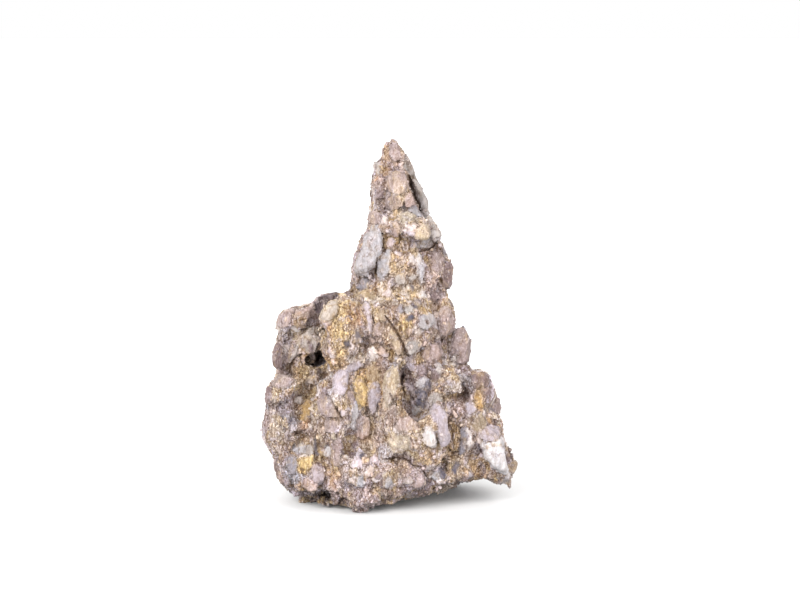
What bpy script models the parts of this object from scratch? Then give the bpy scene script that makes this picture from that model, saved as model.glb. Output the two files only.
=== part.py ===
"""An ibigawa rock: a standing piece of breccia with a narrow spire on a broad, undercut base.

Metres, +Z up, the seen face towards -Y. The origin is on the floor under the middle of the rock.
The rock is one natural stone, so it is one solid: blocks and clasts are fused by a voxel remesh, the
result is trimmed to the seen outline, hollows are cut from it, its surface is roughened and its feet are
worn flat on the floor.
"""

import math
import random

import bmesh
import bpy
from mathutils import Matrix, Vector

MM = 0.001

# Driving dimensions, in millimetres
FUSE_SIZE = 2.0  # voxel that fuses the blocks and clasts into one stone
SKIN_SIZE = 1.6  # voxel of the skin after the hollows are cut
TRIANGLES = 9400  # faces left in the finished solid
MASS_SIDES = 18  # corners of a mass's level section
DOME = [(0.0, 0.4), (0.1, 0.75), (0.28, 1.0), (0.72, 1.0), (0.9, 0.75), (1.0, 0.4)]  # a block's depth and size

# The viewpoint from which the outlines and clasts below were read, in millimetres and degrees.
# Places are given as (right, up) in the plane through the rock that faces this viewpoint.
VIEW_DISTANCE = 1500.0
VIEW_ELEVATION = 8.0
VIEW_CENTRE = (7.8, 154.8)
VIEW_TARGET = Vector((7.8, 0.0, 153.3))
FORWARD = Vector((0.0, math.cos(math.radians(VIEW_ELEVATION)), -math.sin(math.radians(VIEW_ELEVATION))))
UPWARD = Vector((0.0, -FORWARD.z, FORWARD.y))
EYE = VIEW_TARGET - FORWARD * VIEW_DISTANCE

# The finished part's origin among the places below, which puts it under the middle of the rock
ORIGIN = Vector((-0.6, -2.8, 0.0))

# The whole outline as seen, down the right side and up the left; below the last places nothing is trimmed
PROFILE = [
    (-4, 282), (0, 286), (4, 285), (9, 277), (15, 268), (19, 260), (25, 246), (30, 232), (35, 219), (39, 212),
    (42, 203), (44, 195), (49, 188), (51, 179), (49, 171), (44, 166), (46, 164), (49, 153), (51, 144), (49, 136),
    (53, 136), (57, 140), (60, 137), (65, 128), (63, 118), (60, 109), (64, 104), (74, 105), (77, 101), (81, 92),
    (86, 82), (87, 68), (87, 58), (91, 45), (95, 38), (100, 30), (99, 24), (96, 18), (95, -20), (-77, -20),
    (-77, 0), (-81, 7), (-89, 20), (-91, 32), (-93, 41), (-99, 50), (-100, 76), (-98, 89), (-93, 97), (-89, 102),
    (-92, 115), (-92, 126), (-90, 139), (-87, 147), (-80, 152), (-67, 155), (-59, 160), (-50, 164), (-37, 165),
    (-35, 175), (-30, 181), (-28, 194), (-26, 203), (-22, 212), (-18, 221), (-14, 234), (-16, 243), (-15, 256),
    (-13, 267), (-8, 269), (-7, 273),
]
PROFILE_DEPTHS = (-130.0, 130.0)

# Masses: name, and level sections from the top down as (up, left, right, front, back)
MASSES = [
    ("spire", [(272, -5, 9, -7, 9), (262, -7, 12, -10, 12), (248, -8, 15, -14, 15),
               (232, -8, 22, -19, 20), (215, -12, 31, -24, 26), (195, -19, 39, -30, 32),
               (175, -28, 43, -34, 38), (157, -34, 38, -39, 43), (135, -44, 42, -43, 49),
               (115, -50, 52, -46, 54), (95, -58, 60, -49, 58), (75, -62, 66, -46, 60)]),
    ("shoulder", [(158, -54, -40, -2, 28), (151, -76, -34, -15, 37), (140, -87, -32, -23, 43),
                  (120, -89, -32, -27, 47), (100, -87, -32, -28, 50), (85, -80, -32, -20, 48)]),
    ("base", [(104, -74, 60, -24, 44), (94, -90, 74, -36, 50), (76, -95, 81, -46, 57),
              (56, -96, 83, -51, 61), (40, -90, 85, -53, 61), (28, -86, 84, -52, 58),
              (18, -82, 48, -52, 56), (11, -71, 26, -50, 52), (8, -50, 12, -45, 46)]),
]

# Blocks: name, seen outline (right, up), depth of its front and back
BLOCKS = [
    ("tip", [(-8, 265), (-7, 273), (-5, 283), (0, 288), (5, 287), (10, 279), (15, 271), (17, 262),
             (12, 250), (-2, 252)], (-12, 14)),
    ("horn", [(-11, 268), (-13, 265), (-15, 255), (-15, 246), (-12, 237), (-13, 229), (0, 226),
              (4, 256), (-5, 264)], (-17, 12)),
    ("upper_lump", [(-1, 257), (8, 259), (13, 256), (16, 250), (17, 241), (18, 233), (10, 228),
                    (0, 232), (-3, 245)], (-26, 2)),
    ("back_slab", [(9, 278), (16, 267), (20, 256), (28, 234), (38, 211), (40, 206), (45, 192), (36, 192),
                   (25, 216), (20, 236), (13, 260)], (-3, 24)),
    ("belt", [(-12, 228), (-17, 222), (-19, 208), (4, 202), (36, 202), (39, 209), (28, 221),
              (10, 229)], (-37, 24)),
    ("left_rib", [(-10, 216), (-20, 210), (-27, 196), (-28, 184), (-32, 175), (-20, 170), (-8, 192)], (-36, 20)),
    ("right_knob", [(40, 191), (47, 188), (50, 179), (48, 170), (45, 166), (34, 166), (32, 182)], (-20, 20)),
    ("small_knob", [(42, 166), (46, 164), (47, 158), (43, 154), (36, 156), (36, 166)], (-20, 14)),
    ("mauve_knob", [(38, 158), (44, 156), (49, 151), (51, 143), (48, 137), (46, 132), (36, 126),
                    (32, 142)], (-32, 18)),
    ("right_tooth", [(50, 132), (57, 140), (60, 138), (63, 131), (65, 126), (63, 118), (60, 106),
                     (50, 102), (45, 112), (48, 126)], (-28, 20)),
    ("ochre_column", [(-52, 148), (-47, 157), (-38, 161), (-24, 158), (-20, 140), (-22, 118), (-32, 104),
                      (-46, 100), (-51, 110), (-55, 126), (-56, 140)], (-60, -4)),
    ("middle_lump", [(-20, 158), (4, 166), (24, 158), (38, 138), (30, 116), (2, 108), (-18, 118)], (-54, 0)),
    ("dark_block", [(-58, 162), (-50, 163), (-43, 164), (-36, 162), (-34, 146), (-58, 146)], (-4, 34)),
    ("shoulder_crown", [(-58, 158), (-66, 155), (-76, 153), (-84, 149), (-89, 143), (-88, 134), (-70, 130),
                        (-58, 140)], (-34, 26)),
    ("shoulder_edge", [(-85, 134), (-90, 130), (-92, 117), (-91, 106), (-84, 98), (-78, 112)], (-34, 30)),
    ("left_brow", [(-86, 103), (-93, 96), (-97, 90), (-99, 80), (-96, 70), (-70, 72), (-66, 98)], (-46, 24)),
    ("left_cheek", [(-96, 72), (-99, 62), (-98, 50), (-91, 40), (-74, 38), (-64, 56), (-74, 78)], (-56, 26)),
    ("left_jaw", [(-90, 40), (-90, 28), (-87, 20), (-80, 12), (-72, 6), (-56, 6), (-48, 26), (-60, 48)],
     (-54, 20)),
    ("front_left", [(-56, 96), (-30, 102), (-18, 78), (-22, 50), (-40, 32), (-60, 44), (-64, 74)], (-62, 0)),
    ("front_low", [(-52, 42), (-24, 48), (-8, 36), (-12, 10), (-20, 2), (-38, 5), (-54, 9)], (-63, 0)),
    ("ledge_lump", [(-10, 32), (6, 34), (18, 30), (24, 27), (27, 20), (28, 12), (20, 7), (8, 5), (-4, 2),
                    (-16, 3), (-22, 18)], (-64, -10)),
    ("cream_lump", [(-8, 96), (-2, 107), (6, 110), (9, 104), (8, 84), (16, 66), (22, 64), (30, 72),
                    (42, 74), (46, 64), (48, 54), (46, 42), (40, 32), (30, 25), (20, 31), (12, 37), (2, 38),
                    (-7, 46), (-8, 74)], (-72, -16)),
    ("right_shelf", [(34, 112), (50, 108), (60, 98), (52, 84), (34, 80), (28, 98)], (-50, 0)),
    ("right_brow", [(58, 104), (66, 103), (74, 105), (78, 97), (82, 90), (85, 82), (74, 66), (58, 74)], (-38, 22)),
    ("right_face", [(48, 80), (62, 84), (76, 74), (86, 68), (86, 56), (72, 34), (54, 30), (46, 48)], (-46, 20)),
    ("right_toe", [(30, 32), (52, 38), (66, 36), (66, 20), (50, 18), (38, 17), (28, 22)], (-48, 10)),
    ("right_heel", [(72, 56), (86, 62), (90, 54), (92, 44), (95, 35), (99, 32), (98, 24), (95, 17), (84, 15),
                    (74, 20), (68, 34)], (-44, 22)),
]

# Feet that reach the floor: centre (x, y, z) and half sizes
FEET = [
    ((-23, -46, 6), (8, 9, 14)),
    ((-65, -15, 6), (8, 10, 14)),
    ((45, 36, 6), (9, 11, 14)),
    ((10, 50, 6), (9, 8, 14)),
    ((-40, 46, 6), (10, 9, 14)),
]

# Lumps of the sides and the back, which the viewpoint doesn't show: centre and half sizes (x, y, z)
BACK_LUMPS = [
    ((-6, 18, 232), (15, 12, 26)),
    ((12, 24, 205), (22, 12, 24)),
    ((-14, 26, 184), (20, 16, 24)),
    ((26, 34, 160), (22, 16, 24)),
    ((-16, 40, 148), (26, 16, 22)),
    ((-62, 38, 122), (24, 16, 22)),
    ((6, 50, 116), (30, 14, 26)),
    ((44, 40, 108), (20, 18, 22)),
    ((-40, 50, 88), (26, 16, 24)),
    ((-74, 34, 68), (20, 20, 28)),
    ((64, 38, 74), (20, 14, 24)),
    ((24, 58, 70), (26, 10, 26)),
    ((-24, 58, 48), (30, 10, 26)),
    ((-62, 40, 28), (24, 18, 18)),
    ((46, 46, 34), (22, 16, 18)),
    ((4, 50, 22), (34, 14, 20)),
    ((-84, 4, 52), (12, 26, 24)),
    ((-80, 10, 118), (12, 24, 20)),
    ((78, 8, 60), (12, 20, 26)),
    ((36, 6, 176), (14, 18, 18)),
]

# Large clasts of the seen face: name, middle (right, up), width, height, lean to the right in degrees,
# and how much of the thickness stands out of the surface
CLASTS = [
    ("white_slab", (-15.5, 196), 14, 42, 14, 0.5),
    ("grey_slab", (-5, 187), 9, 26, 12, 0.45),
    ("lilac_belt", (3.5, 213), 10, 14, -8, 0.4),
    ("cream_belt", (25, 212), 14, 12, 30, 0.55),
    ("white_belt", (35, 211), 8, 7, 30, 0.5),
    ("blue_belt", (28, 202), 10, 7, 60, 0.45),
    ("blue_streak", (24, 184), 6, 28, 0, 0.4),
    ("whitish_knot", (7.5, 176), 11, 12, 0, 0.5),
    ("purple_right", (37, 188), 10, 17, -25, 0.5),
    ("pink_right", (34, 175), 14, 14, 0, 0.35),
    ("pink_left", (-11, 224), 10, 14, 0, 0.4),
    ("pale_lintel", (12, 223), 13, 8, 70, 0.45),
    ("purple_horn", (-9, 246), 10, 18, 0, 0.4),
    ("mauve_neck", (5, 237), 13, 11, 0, 0.45),
    ("grey_corner", (-25, 171), 11, 15, 10, 0.35),
    ("blue_round", (28, 141), 14, 11, 60, 0.3),
    ("cream_round", (17, 122), 10, 12, 0, 0.45),
    ("lilac_sliver", (-17.5, 146), 6, 31, -9, 0.45),
    ("grey_cap", (-45.5, 150), 12, 17, 25, 0.5),
    ("slate_chip", (-24.5, 131), 8, 13, -20, 0.35),
    ("leaf", (4, 128), 9, 26, -22, 0.5),
    ("grey_shelf", (34, 118), 17, 12, 60, 0.4),
    ("blue_pocket", (25, 94), 10, 11, -10, 0.45),
    ("dark_pocket", (24, 82), 10, 12, 0, 0.4),
    ("pale_shelf", (36, 81), 12, 8, 70, 0.45),
    ("white_eye", (63, 76), 9, 13, -15, 0.45),
    ("quartz_long", (59, 50), 10, 20, 16, 0.45),
    ("white_diamond", (81, 42), 17, 42, -22, 0.6),
    ("lilac_plank", (41.5, 57), 9, 36, -6, 0.5),
    ("cream_scale", (31, 52), 11, 18, -22, 0.4),
    ("blue_toe", (40, 23), 10, 9, 30, 0.5),
    ("lilac_face", (-38, 95), 12, 19, 4, 0.5),
    ("orange_column", (-22.5, 88), 9, 24, 0, 0.5),
    ("lilac_column", (-12.5, 84), 10, 19, 0, 0.45),
    ("blue_strip", (-27, 67), 6, 22, 0, 0.3),
    ("pink_ring", (-21.5, 58), 15, 19, 0, 0.4),
    ("mauve_slab", (-50, 73), 12, 32, -27, 0.5),
    ("mauve_tail", (-41, 50), 11, 27, -18, 0.4),
    ("blue_lens", (-76, 31), 8, 21, 10, 0.4),
    ("lilac_lens", (-65, 39), 12, 9, 70, 0.4),
    ("ochre_lens", (-65, 30), 11, 12, 0, 0.35),
    ("blue_fan", (-57, 24), 13, 15, 20, 0.4),
    ("pink_toe", (-61, 15), 17, 11, 75, 0.45),
    ("edge_lens", (-94, 84), 8, 18, 5, 0.5),
    ("edge_plank", (-87.5, 116), 7, 29, 4, 0.45),
    ("pink_brow", (-84, 97), 12, 10, 60, 0.45),
    ("green_leaf", (-76, 121), 11, 26, 32, 0.5),
    ("green_brow", (-65, 131), 14, 12, 60, 0.45),
    ("pink_crown", (-80, 143), 13, 11, 60, 0.4),
    ("mauve_crown", (-67, 146), 13, 9, 70, 0.4),
    ("cream_rib", (2, 94), 10, 32, 4, 0.45),
    ("dark_shelf", (70, 97), 14, 11, 60, 0.5),
    ("right_rim", (84, 78), 6, 28, -4, 0.4),
    ("pale_foot", (-23, 17), 11, 13, 0, 0.35),
    ("white_foot", (-1, 18), 9, 10, 0, 0.35),
    ("pink_ledge", (22, 17), 11, 13, 0, 0.45),
]

# Smaller clasts are scattered by rule over the whole stone, thinner towards the top
SCATTERED = 520
SCATTER_HEIGHTS = (18.0, 276.0)
SCATTER_SIZES = (8.0, 18.0)
SCATTER_THICKNESS = 0.44  # of a clast's width, half of it standing out
SCATTER_SEED = 31

# Hollows: name, middle (right, up), width, height, lean to the right, depth of its front and back
HOLLOWS = [
    ("cave", (-58, 113), 20, 16, -18, (-60, 8)),
    ("cave_left", (-70, 116), 5, 15, 12, (-60, -6)),
    ("cave_chimney", (-56.5, 124), 4, 12, -12, (-60, -8)),
    ("slab_groove", (20, 240), 5.5, 34, -28, (-40, 4)),
    ("slab_groove_top", (15, 255), 4, 18, -24, (-40, 2)),
    ("pocket", (13, 92), 9, 34, -8, (-70, -34)),
    ("pocket_top", (9.5, 99), 5, 12, 0, (-80, -38)),
    ("leaf_crack", (6, 131), 2.6, 30, -30, (-70, -30)),
    ("belt_gap", (30, 197), 9, 4, 60, (-60, -18)),
    ("tooth_gap", (46, 124), 6, 14, -12, (-60, -6)),
    ("ledge_crack", (4, 35), 20, 5, 0, (-84, -54)),
    ("ledge_crack_right", (19, 32), 4, 16, -55, (-84, -52)),
    ("ledge_crack_end", (27, 24), 4, 10, -20, (-84, -46)),
    ("toe_gap", (43, 31), 10, 7, 40, (-60, -24)),
    ("heel_cave", (74, 27), 9, 11, 0, (-70, -14)),
    ("slab_crack", (-43, 76), 2.4, 26, -35, (-70, -44)),
    ("shoulder_seam", (-53, 136), 4, 26, -14, (-60, -20)),
    ("shoulder_floor", (-72, 101), 30, 3.5, -4, (-60, -22)),
    ("plank_groove", (50, 56), 3.5, 30, -4, (-60, -32)),
    ("horn_notch", (-7.5, 268), 3, 7, 0, (-30, 30)),
    ("pit_left", (-72, 54), 8, 5, 45, (-70, -42)),
    ("pit_foot", (-51, 5), 14, 9, 0, (-70, -26)),
    ("brow_pit", (-62, 89), 6, 8, -20, (-70, -38)),
]

# Hollows of the underside, between the feet: centre (x, y, z) and half sizes
ARCHES = [
    ((-6, 2, -2), (52, 34, 11)),
    ((28, 58, -2), (10, 30, 9)),
    ((-14, 58, -2), (13, 30, 10)),
    ((-76, 24, -2), (30, 18, 12)),
    ((36, 4, -2), (30, 24, 12)),
]


def sight_line(right, up):
    """The unnormalised direction of the line of sight through a place given as (right, up)."""
    aim = FORWARD * VIEW_DISTANCE + UPWARD * (up - VIEW_CENTRE[1])
    aim.x += right - VIEW_CENTRE[0]
    return aim


def seen_at(right, up, depth):
    """The point in millimetres that is seen at (right, up) and lies at that depth along Y."""
    aim = sight_line(right, up)
    return EYE + aim * ((depth - EYE.y) / aim.y)


def add_loft(mesh, rings):
    """A closed lump from rings of points in millimetres that have the same count."""
    loops = [[mesh.verts.new(point * MM) for point in ring] for ring in rings]
    faces = [mesh.faces.new(loops[0]), mesh.faces.new(loops[-1][::-1])]
    for near, far in zip(loops, loops[1:]):
        for i in range(len(near)):
            j = (i + 1) % len(near)
            faces.append(mesh.faces.new((near[i], near[j], far[j], far[i])))
    bmesh.ops.recalc_face_normals(mesh, faces=faces)


def add_mass(mesh, sections, rng):
    """A lump whose level sections are rounded boxes with corners knocked about."""
    rings = []
    for up, left, right, front, back in sections:
        centre = seen_at((left + right) / 2, up, (front + back) / 2)
        ring = []
        for i in range(MASS_SIDES):
            turn = math.tau * i / MASS_SIDES
            across = math.copysign(abs(math.cos(turn)) ** 0.75, math.cos(turn))
            along = math.copysign(abs(math.sin(turn)) ** 0.75, math.sin(turn))
            reach = rng.uniform(0.93, 1.03)
            side = Vector((across * (right - left) / 2, along * (back - front) / 2, rng.uniform(-3.0, 3.0)))
            ring.append(centre + side * reach)
        rings.append(ring)
    add_loft(mesh, rings)


def add_block(mesh, outline, depths, rng):
    """A lump whose seen outline is given, domed at its front and back."""
    middle = Vector((sum(p[0] for p in outline), sum(p[1] for p in outline))) / len(outline)
    front, back = depths
    rings = []
    for share, size in DOME:
        depth = front + (back - front) * share
        ring = []
        for right, up in outline:
            wobble = rng.uniform(-0.02, 0.02) if size == 1.0 else rng.uniform(-0.12, 0.08)
            place = middle + (Vector((right, up)) - middle) * (size + wobble)
            ring.append(seen_at(place.x, place.y, depth + rng.uniform(-0.05, 0.05) * (back - front)))
        rings.append(ring)
    add_loft(mesh, rings)


def add_chip(mesh, matrix, half_sizes, rng, points=16):
    """An angular lump: the hull of points spread over an ellipsoid, in the matrix's axes."""
    corners = []
    for i in range(points):
        height = 1.0 - 2.0 * (i + 0.5) / points
        turn = i * math.pi * (3.0 - math.sqrt(5.0)) + rng.uniform(-0.3, 0.3)
        flat = math.sqrt(1.0 - height * height)
        reach = rng.uniform(0.86, 1.16)
        way = Vector((flat * math.cos(turn), flat * math.sin(turn), height)) * reach
        local = Vector(way[k] * half_sizes[k] for k in range(3))
        corners.append(mesh.verts.new((matrix @ local) * MM))
    hull = bmesh.ops.convex_hull(mesh, input=corners)
    bmesh.ops.delete(mesh, geom=list(set(hull["geom_interior"])), context="VERTS")


def object_of(name, mesh):
    """A new object in the scene that holds a bmesh."""
    data = bpy.data.meshes.new(name)
    mesh.to_mesh(data)
    mesh.free()
    made = bpy.data.objects.new(name, data)
    bpy.context.scene.collection.objects.link(made)
    return made


def tool_of(name, mesh):
    """A new object that only cuts others."""
    tool = object_of(name, mesh)
    tool.hide_render = True
    tool.display_type = "WIRE"
    return tool


def evaluated_copy(source):
    """The object's mesh with its modifiers applied."""
    graph = bpy.context.evaluated_depsgraph_get()
    return bpy.data.meshes.new_from_object(source.evaluated_get(graph))


def leaning_axes(place, lean):
    """A matrix in millimetres whose Z axis leans to the right in the plane that faces the viewpoint."""
    turn = Matrix.Rotation(math.radians(lean), 4, "Y")
    return Matrix.Translation(place) @ turn


def add_front_clasts(mesh, surface):
    """The named clasts, each where the line of sight through its middle meets the surface."""
    rng = random.Random(7)
    for _, (right, up), width, height, lean, stands_out in CLASTS:
        aim = sight_line(right, up)
        hit, place, _, _ = surface.ray_cast(EYE * MM, aim.normalized())
        if not hit:
            continue
        thick = 0.45 * math.sqrt(width * height)
        middle = place / MM + aim.normalized() * thick * (0.5 - stands_out)
        add_chip(mesh, leaning_axes(middle, lean), (width / 2, thick / 2, height / 2), rng, 22)


def add_scattered_clasts(mesh, surface):
    """Clasts all round, each where a level line from outside meets the surface."""
    rng = random.Random(SCATTER_SEED)
    low, high = SCATTER_HEIGHTS
    for _ in range(SCATTERED):
        up = rng.triangular(low, high, low)
        turn = rng.uniform(0.0, math.tau)
        size = rng.uniform(*SCATTER_SIZES)
        stretch = rng.uniform(1.0, 1.8)
        lean = rng.gauss(0.0, 20.0)
        way = Vector((-math.cos(turn), -math.sin(turn), 0.0))
        aside = Vector((-way.y, way.x, 0.0)) * rng.uniform(-0.35, 0.35) * (high - up)
        start = aside - way * 200.0 + Vector((0.0, 0.0, up))
        hit, place, facing, _ = surface.ray_cast(start * MM, way)
        if not hit or facing.z < -0.4:
            continue
        sunk = place / MM + way * (0.5 + 2.5 * abs(way.x))
        axes = Matrix.Translation(sunk) @ Matrix.Rotation(turn + math.pi / 2, 4, "Z")
        axes = axes @ Matrix.Rotation(math.radians(lean), 4, "Y")
        add_chip(mesh, axes, (size / 2, size * SCATTER_THICKNESS / 2, size * stretch / 2), rng)


def make_body():
    """All blocks and clasts in one mesh, still overlapping."""
    rng = random.Random(3)
    mesh = bmesh.new()
    for _, sections in MASSES:
        add_mass(mesh, sections, rng)
    for _, outline, depths in BLOCKS:
        add_block(mesh, outline, depths, rng)
    ankles = [((x, y, z + 8), (2.2 * wide, 2.0 * deep, 10)) for (x, y, z), (wide, deep, _) in FEET]
    for centre, half_sizes in BACK_LUMPS + FEET + ankles:
        turn = Matrix.Rotation(rng.uniform(-0.5, 0.5), 4, "Z")
        add_chip(mesh, Matrix.Translation(centre) @ turn, half_sizes, rng, 26)
    body = object_of("blocks", mesh)
    bpy.context.view_layer.update()
    mesh = bmesh.new()
    mesh.from_mesh(body.data)
    add_front_clasts(mesh, body)
    add_scattered_clasts(mesh, body)
    mesh.to_mesh(body.data)
    mesh.free()
    return body


def make_hollows():
    """One cutter object that holds every hollow."""
    rng = random.Random(11)
    mesh = bmesh.new()
    for _, (right, up), width, height, lean, (front, back) in HOLLOWS:
        place = seen_at(right, up, (front + back) / 2)
        axes = leaning_axes(place, lean) @ Matrix.Rotation(math.radians(-VIEW_ELEVATION), 4, "X")
        add_chip(mesh, axes, (width / 2, (back - front) / 2, height / 2), rng, 20)
    for centre, half_sizes in ARCHES:
        add_chip(mesh, Matrix.Translation(centre), half_sizes, rng, 26)
    return tool_of("hollows", mesh)


def make_profile():
    """One object that fills the seen outline from front to back, to trim the rock with."""
    mesh = bmesh.new()
    add_loft(mesh, [[seen_at(right, up, depth) for right, up in PROFILE] for depth in PROFILE_DEPTHS])
    return tool_of("profile", mesh)


def fuse(body, size):
    """Overlapping or cut lumps become one closed skin."""
    remesh = body.modifiers.new("Fuse", "REMESH")
    remesh.mode = "VOXEL"
    remesh.voxel_size = size * MM
    remesh.use_smooth_shade = False


def carve(body, name, operation, tool):
    cut = body.modifiers.new(name, "BOOLEAN")
    cut.operation = operation
    cut.solver = "EXACT"
    cut.use_self = operation == "DIFFERENCE"
    cut.object = tool


def roughen(body, texture, strength):
    """Moves the surface in and out by a 3-D pattern; the strength is in millimetres."""
    displace = body.modifiers.new(texture.name, "DISPLACE")
    displace.texture = texture
    displace.texture_coords = "LOCAL"
    displace.mid_level = 0.5
    displace.strength = strength * MM


def cloud_pattern(name, size):
    texture = bpy.data.textures.new(name, "CLOUDS")
    texture.noise_scale = size * MM
    return texture


def cell_pattern(name, size):
    """Plateaus with creases between them, like clasts set in a matrix."""
    texture = bpy.data.textures.new(name, "VORONOI")
    texture.noise_scale = size * MM
    texture.weight_1 = -1.0
    texture.weight_2 = 1.0
    texture.noise_intensity = 1.0
    return texture


def even_out(body):
    """Takes the sharpest burrs off the roughened skin."""
    smooth = body.modifiers.new("Even", "SMOOTH")
    smooth.factor = 0.5
    smooth.iterations = 2


def thin_out(body, faces):
    """Collapses the skin to about that many triangles."""
    count = len(evaluated_copy(body).polygons)
    thin = body.modifiers.new("Thin", "DECIMATE")
    thin.ratio = min(1.0, faces / (2.0 * count))
    thin.use_collapse_triangulate = True


def is_inside(outline, spot):
    """Whether a place lies within a closed outline, by the edges that cross its level to the right of it."""
    inside = False
    for start, end in zip(outline, outline[1:] + outline[:1]):
        if (start.y > spot.y) != (end.y > spot.y):
            crossing = start.x + (end.x - start.x) * (spot.y - start.y) / (end.y - start.y)
            if crossing > spot.x:
                inside = not inside
    return inside


def nearest_on(outline, spot):
    """The nearest place on a closed outline."""
    places = []
    for start, end in zip(outline, outline[1:] + outline[:1]):
        way = end - start
        share = max(0.0, min(1.0, (spot - start).dot(way) / way.length_squared))
        places.append(start + way * share)
    return min(places, key=lambda place: (place - spot).length)


def press_into_profile(mesh):
    """Moves what the roughening pushed past the seen outline back onto it."""
    outline = [Vector(place) for place in PROFILE]
    for vert in mesh.verts:
        way = vert.co / MM - EYE
        reach = VIEW_DISTANCE / way.dot(FORWARD)
        seen = Vector((way.x * reach + VIEW_CENTRE[0], way.dot(UPWARD) * reach + VIEW_CENTRE[1]))
        if not is_inside(outline, seen):
            shift = (nearest_on(outline, seen) - seen) / reach
            vert.co += (Vector((shift.x, 0.0, 0.0)) + UPWARD * shift.y) * MM


def stand_on_floor(mesh):
    """Cuts everything below the floor away and closes the cut, which leaves small flat feet."""
    geometry = mesh.verts[:] + mesh.edges[:] + mesh.faces[:]
    floor = Vector((0.0, 0.0, 0.0))
    cut = bmesh.ops.bisect_plane(mesh, geom=geometry, plane_co=floor, plane_no=(0, 0, -1), clear_outer=True)
    rim = [e for e in cut["geom_cut"] if isinstance(e, bmesh.types.BMEdge)]
    bmesh.ops.holes_fill(mesh, edges=rim)
    bmesh.ops.triangulate(mesh, faces=mesh.faces[:])


def keep_largest(mesh):
    """Drops crumbs that the cuts left loose."""
    left = set(mesh.verts)
    groups = []
    while left:
        edge_of_group = [left.pop()]
        group = set(edge_of_group)
        while edge_of_group:
            vert = edge_of_group.pop()
            for edge in vert.link_edges:
                other = edge.other_vert(vert)
                if other not in group:
                    group.add(other)
                    left.discard(other)
                    edge_of_group.append(other)
        groups.append(group)
    groups.sort(key=len)
    crumbs = [v for group in groups[:-1] for v in group]
    bmesh.ops.delete(mesh, geom=crumbs, context="VERTS")


def stone_material():
    material = bpy.data.materials.new("stone")
    material.use_nodes = True
    shader = material.node_tree.nodes["Principled BSDF"]
    shader.inputs["Base Color"].default_value = (0.42, 0.35, 0.28, 1.0)
    shader.inputs["Roughness"].default_value = 0.85
    shader.inputs["Metallic"].default_value = 0.0
    return material


def make_rock():
    body = make_body()
    fuse(body, FUSE_SIZE)
    carve(body, "Profile", "INTERSECT", make_profile())
    carve(body, "Hollows", "DIFFERENCE", make_hollows())
    fuse(body, SKIN_SIZE)
    roughen(body, cloud_pattern("Lumps", 28.0), 9.0)
    roughen(body, cell_pattern("Cells", 12.0), 4.0)
    roughen(body, cloud_pattern("Grit", 7.0), 2.0)
    even_out(body)
    thin_out(body, TRIANGLES)
    mesh = bmesh.new()
    mesh.from_mesh(evaluated_copy(body))
    bpy.data.objects.remove(body)
    keep_largest(mesh)
    press_into_profile(mesh)
    stand_on_floor(mesh)
    bmesh.ops.translate(mesh, verts=mesh.verts[:], vec=-ORIGIN * MM)
    rock = object_of("rock", mesh)
    rock.data.materials.append(stone_material())
    return rock


for old in list(bpy.data.objects):
    bpy.data.objects.remove(old)
make_rock()
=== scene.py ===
import math
import random

import bmesh
import bpy
import numpy as np
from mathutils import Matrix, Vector, noise
from mathutils.bvhtree import BVHTree
from mathutils.kdtree import KDTree


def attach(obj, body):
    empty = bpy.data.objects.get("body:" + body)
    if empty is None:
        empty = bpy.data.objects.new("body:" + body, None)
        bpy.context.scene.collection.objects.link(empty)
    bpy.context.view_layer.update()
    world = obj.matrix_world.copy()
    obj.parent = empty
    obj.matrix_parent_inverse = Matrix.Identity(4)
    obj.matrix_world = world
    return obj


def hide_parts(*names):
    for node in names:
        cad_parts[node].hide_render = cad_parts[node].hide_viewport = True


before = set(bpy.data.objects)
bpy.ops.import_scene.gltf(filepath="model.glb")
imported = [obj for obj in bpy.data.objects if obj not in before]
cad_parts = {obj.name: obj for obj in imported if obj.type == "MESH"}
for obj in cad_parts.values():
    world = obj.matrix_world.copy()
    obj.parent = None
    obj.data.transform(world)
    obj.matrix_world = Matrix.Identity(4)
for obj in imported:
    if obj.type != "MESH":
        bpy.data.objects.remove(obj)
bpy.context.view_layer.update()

# Everything below is in millimetres until a mesh is made
MM = 0.001

# Fineness of the meshes
SKIN_VOXEL = 0.8
GRAINS = 6000
SEED = 17

# The viewpoint from which the places below were read, as (right, up) in the plane that faces it
VIEW_DISTANCE = 1500.0
VIEW_ELEVATION = math.radians(8.0)
VIEW_CENTRE = (7.8, 154.8)
VIEW_TARGET = np.array((8.4, 2.8, 153.3))
VIEW_WIDTH = 624.0
SENSOR = 36.0

FORWARD = np.array((0.0, math.cos(VIEW_ELEVATION), -math.sin(VIEW_ELEVATION)))
UPWARD = np.array((0.0, math.sin(VIEW_ELEVATION), math.cos(VIEW_ELEVATION)))
EYE = VIEW_TARGET - FORWARD * VIEW_DISTANCE

# How bright the stone itself is, for the light of the lamps to show it as seen
LIGHTNESS = 0.92

# Colours as seen, red green blue from 0 to 255
TINTS = {
    "white": (230, 221, 218),
    "lilac": (203, 189, 195),
    "pale_grey": (200, 189, 182),
    "pale_blue": (193, 187, 189),
    "blue": (156, 149, 156),
    "navy": (104, 98, 112),
    "mauve": (181, 159, 154),
    "dark_mauve": (139, 116, 114),
    "plum": (106, 88, 91),
    "pink": (205, 180, 172),
    "cream": (217, 199, 175),
    "tan": (200, 176, 147),
    "olive": (168, 147, 121),
    "ochre": (206, 168, 113),
    "yellow": (228, 196, 137),
    "frost": (226, 211, 200),
    "orange": (203, 150, 96),
    # Brown and dark also serve for dirt and painted shade in hollows, cracks and along the bottom
    "brown": (121, 93, 71),
    "dark": (66, 46, 33),
}

# Tints of the fragments that fill the stone, with how often each is met
FILLING = {
    "white": 6, "lilac": 11, "pale_grey": 14, "pale_blue": 6, "blue": 5, "navy": 1, "mauve": 28,
    "dark_mauve": 5, "pink": 14, "cream": 11, "tan": 12, "olive": 2, "ochre": 6, "yellow": 5, "brown": 1,
}

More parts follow.
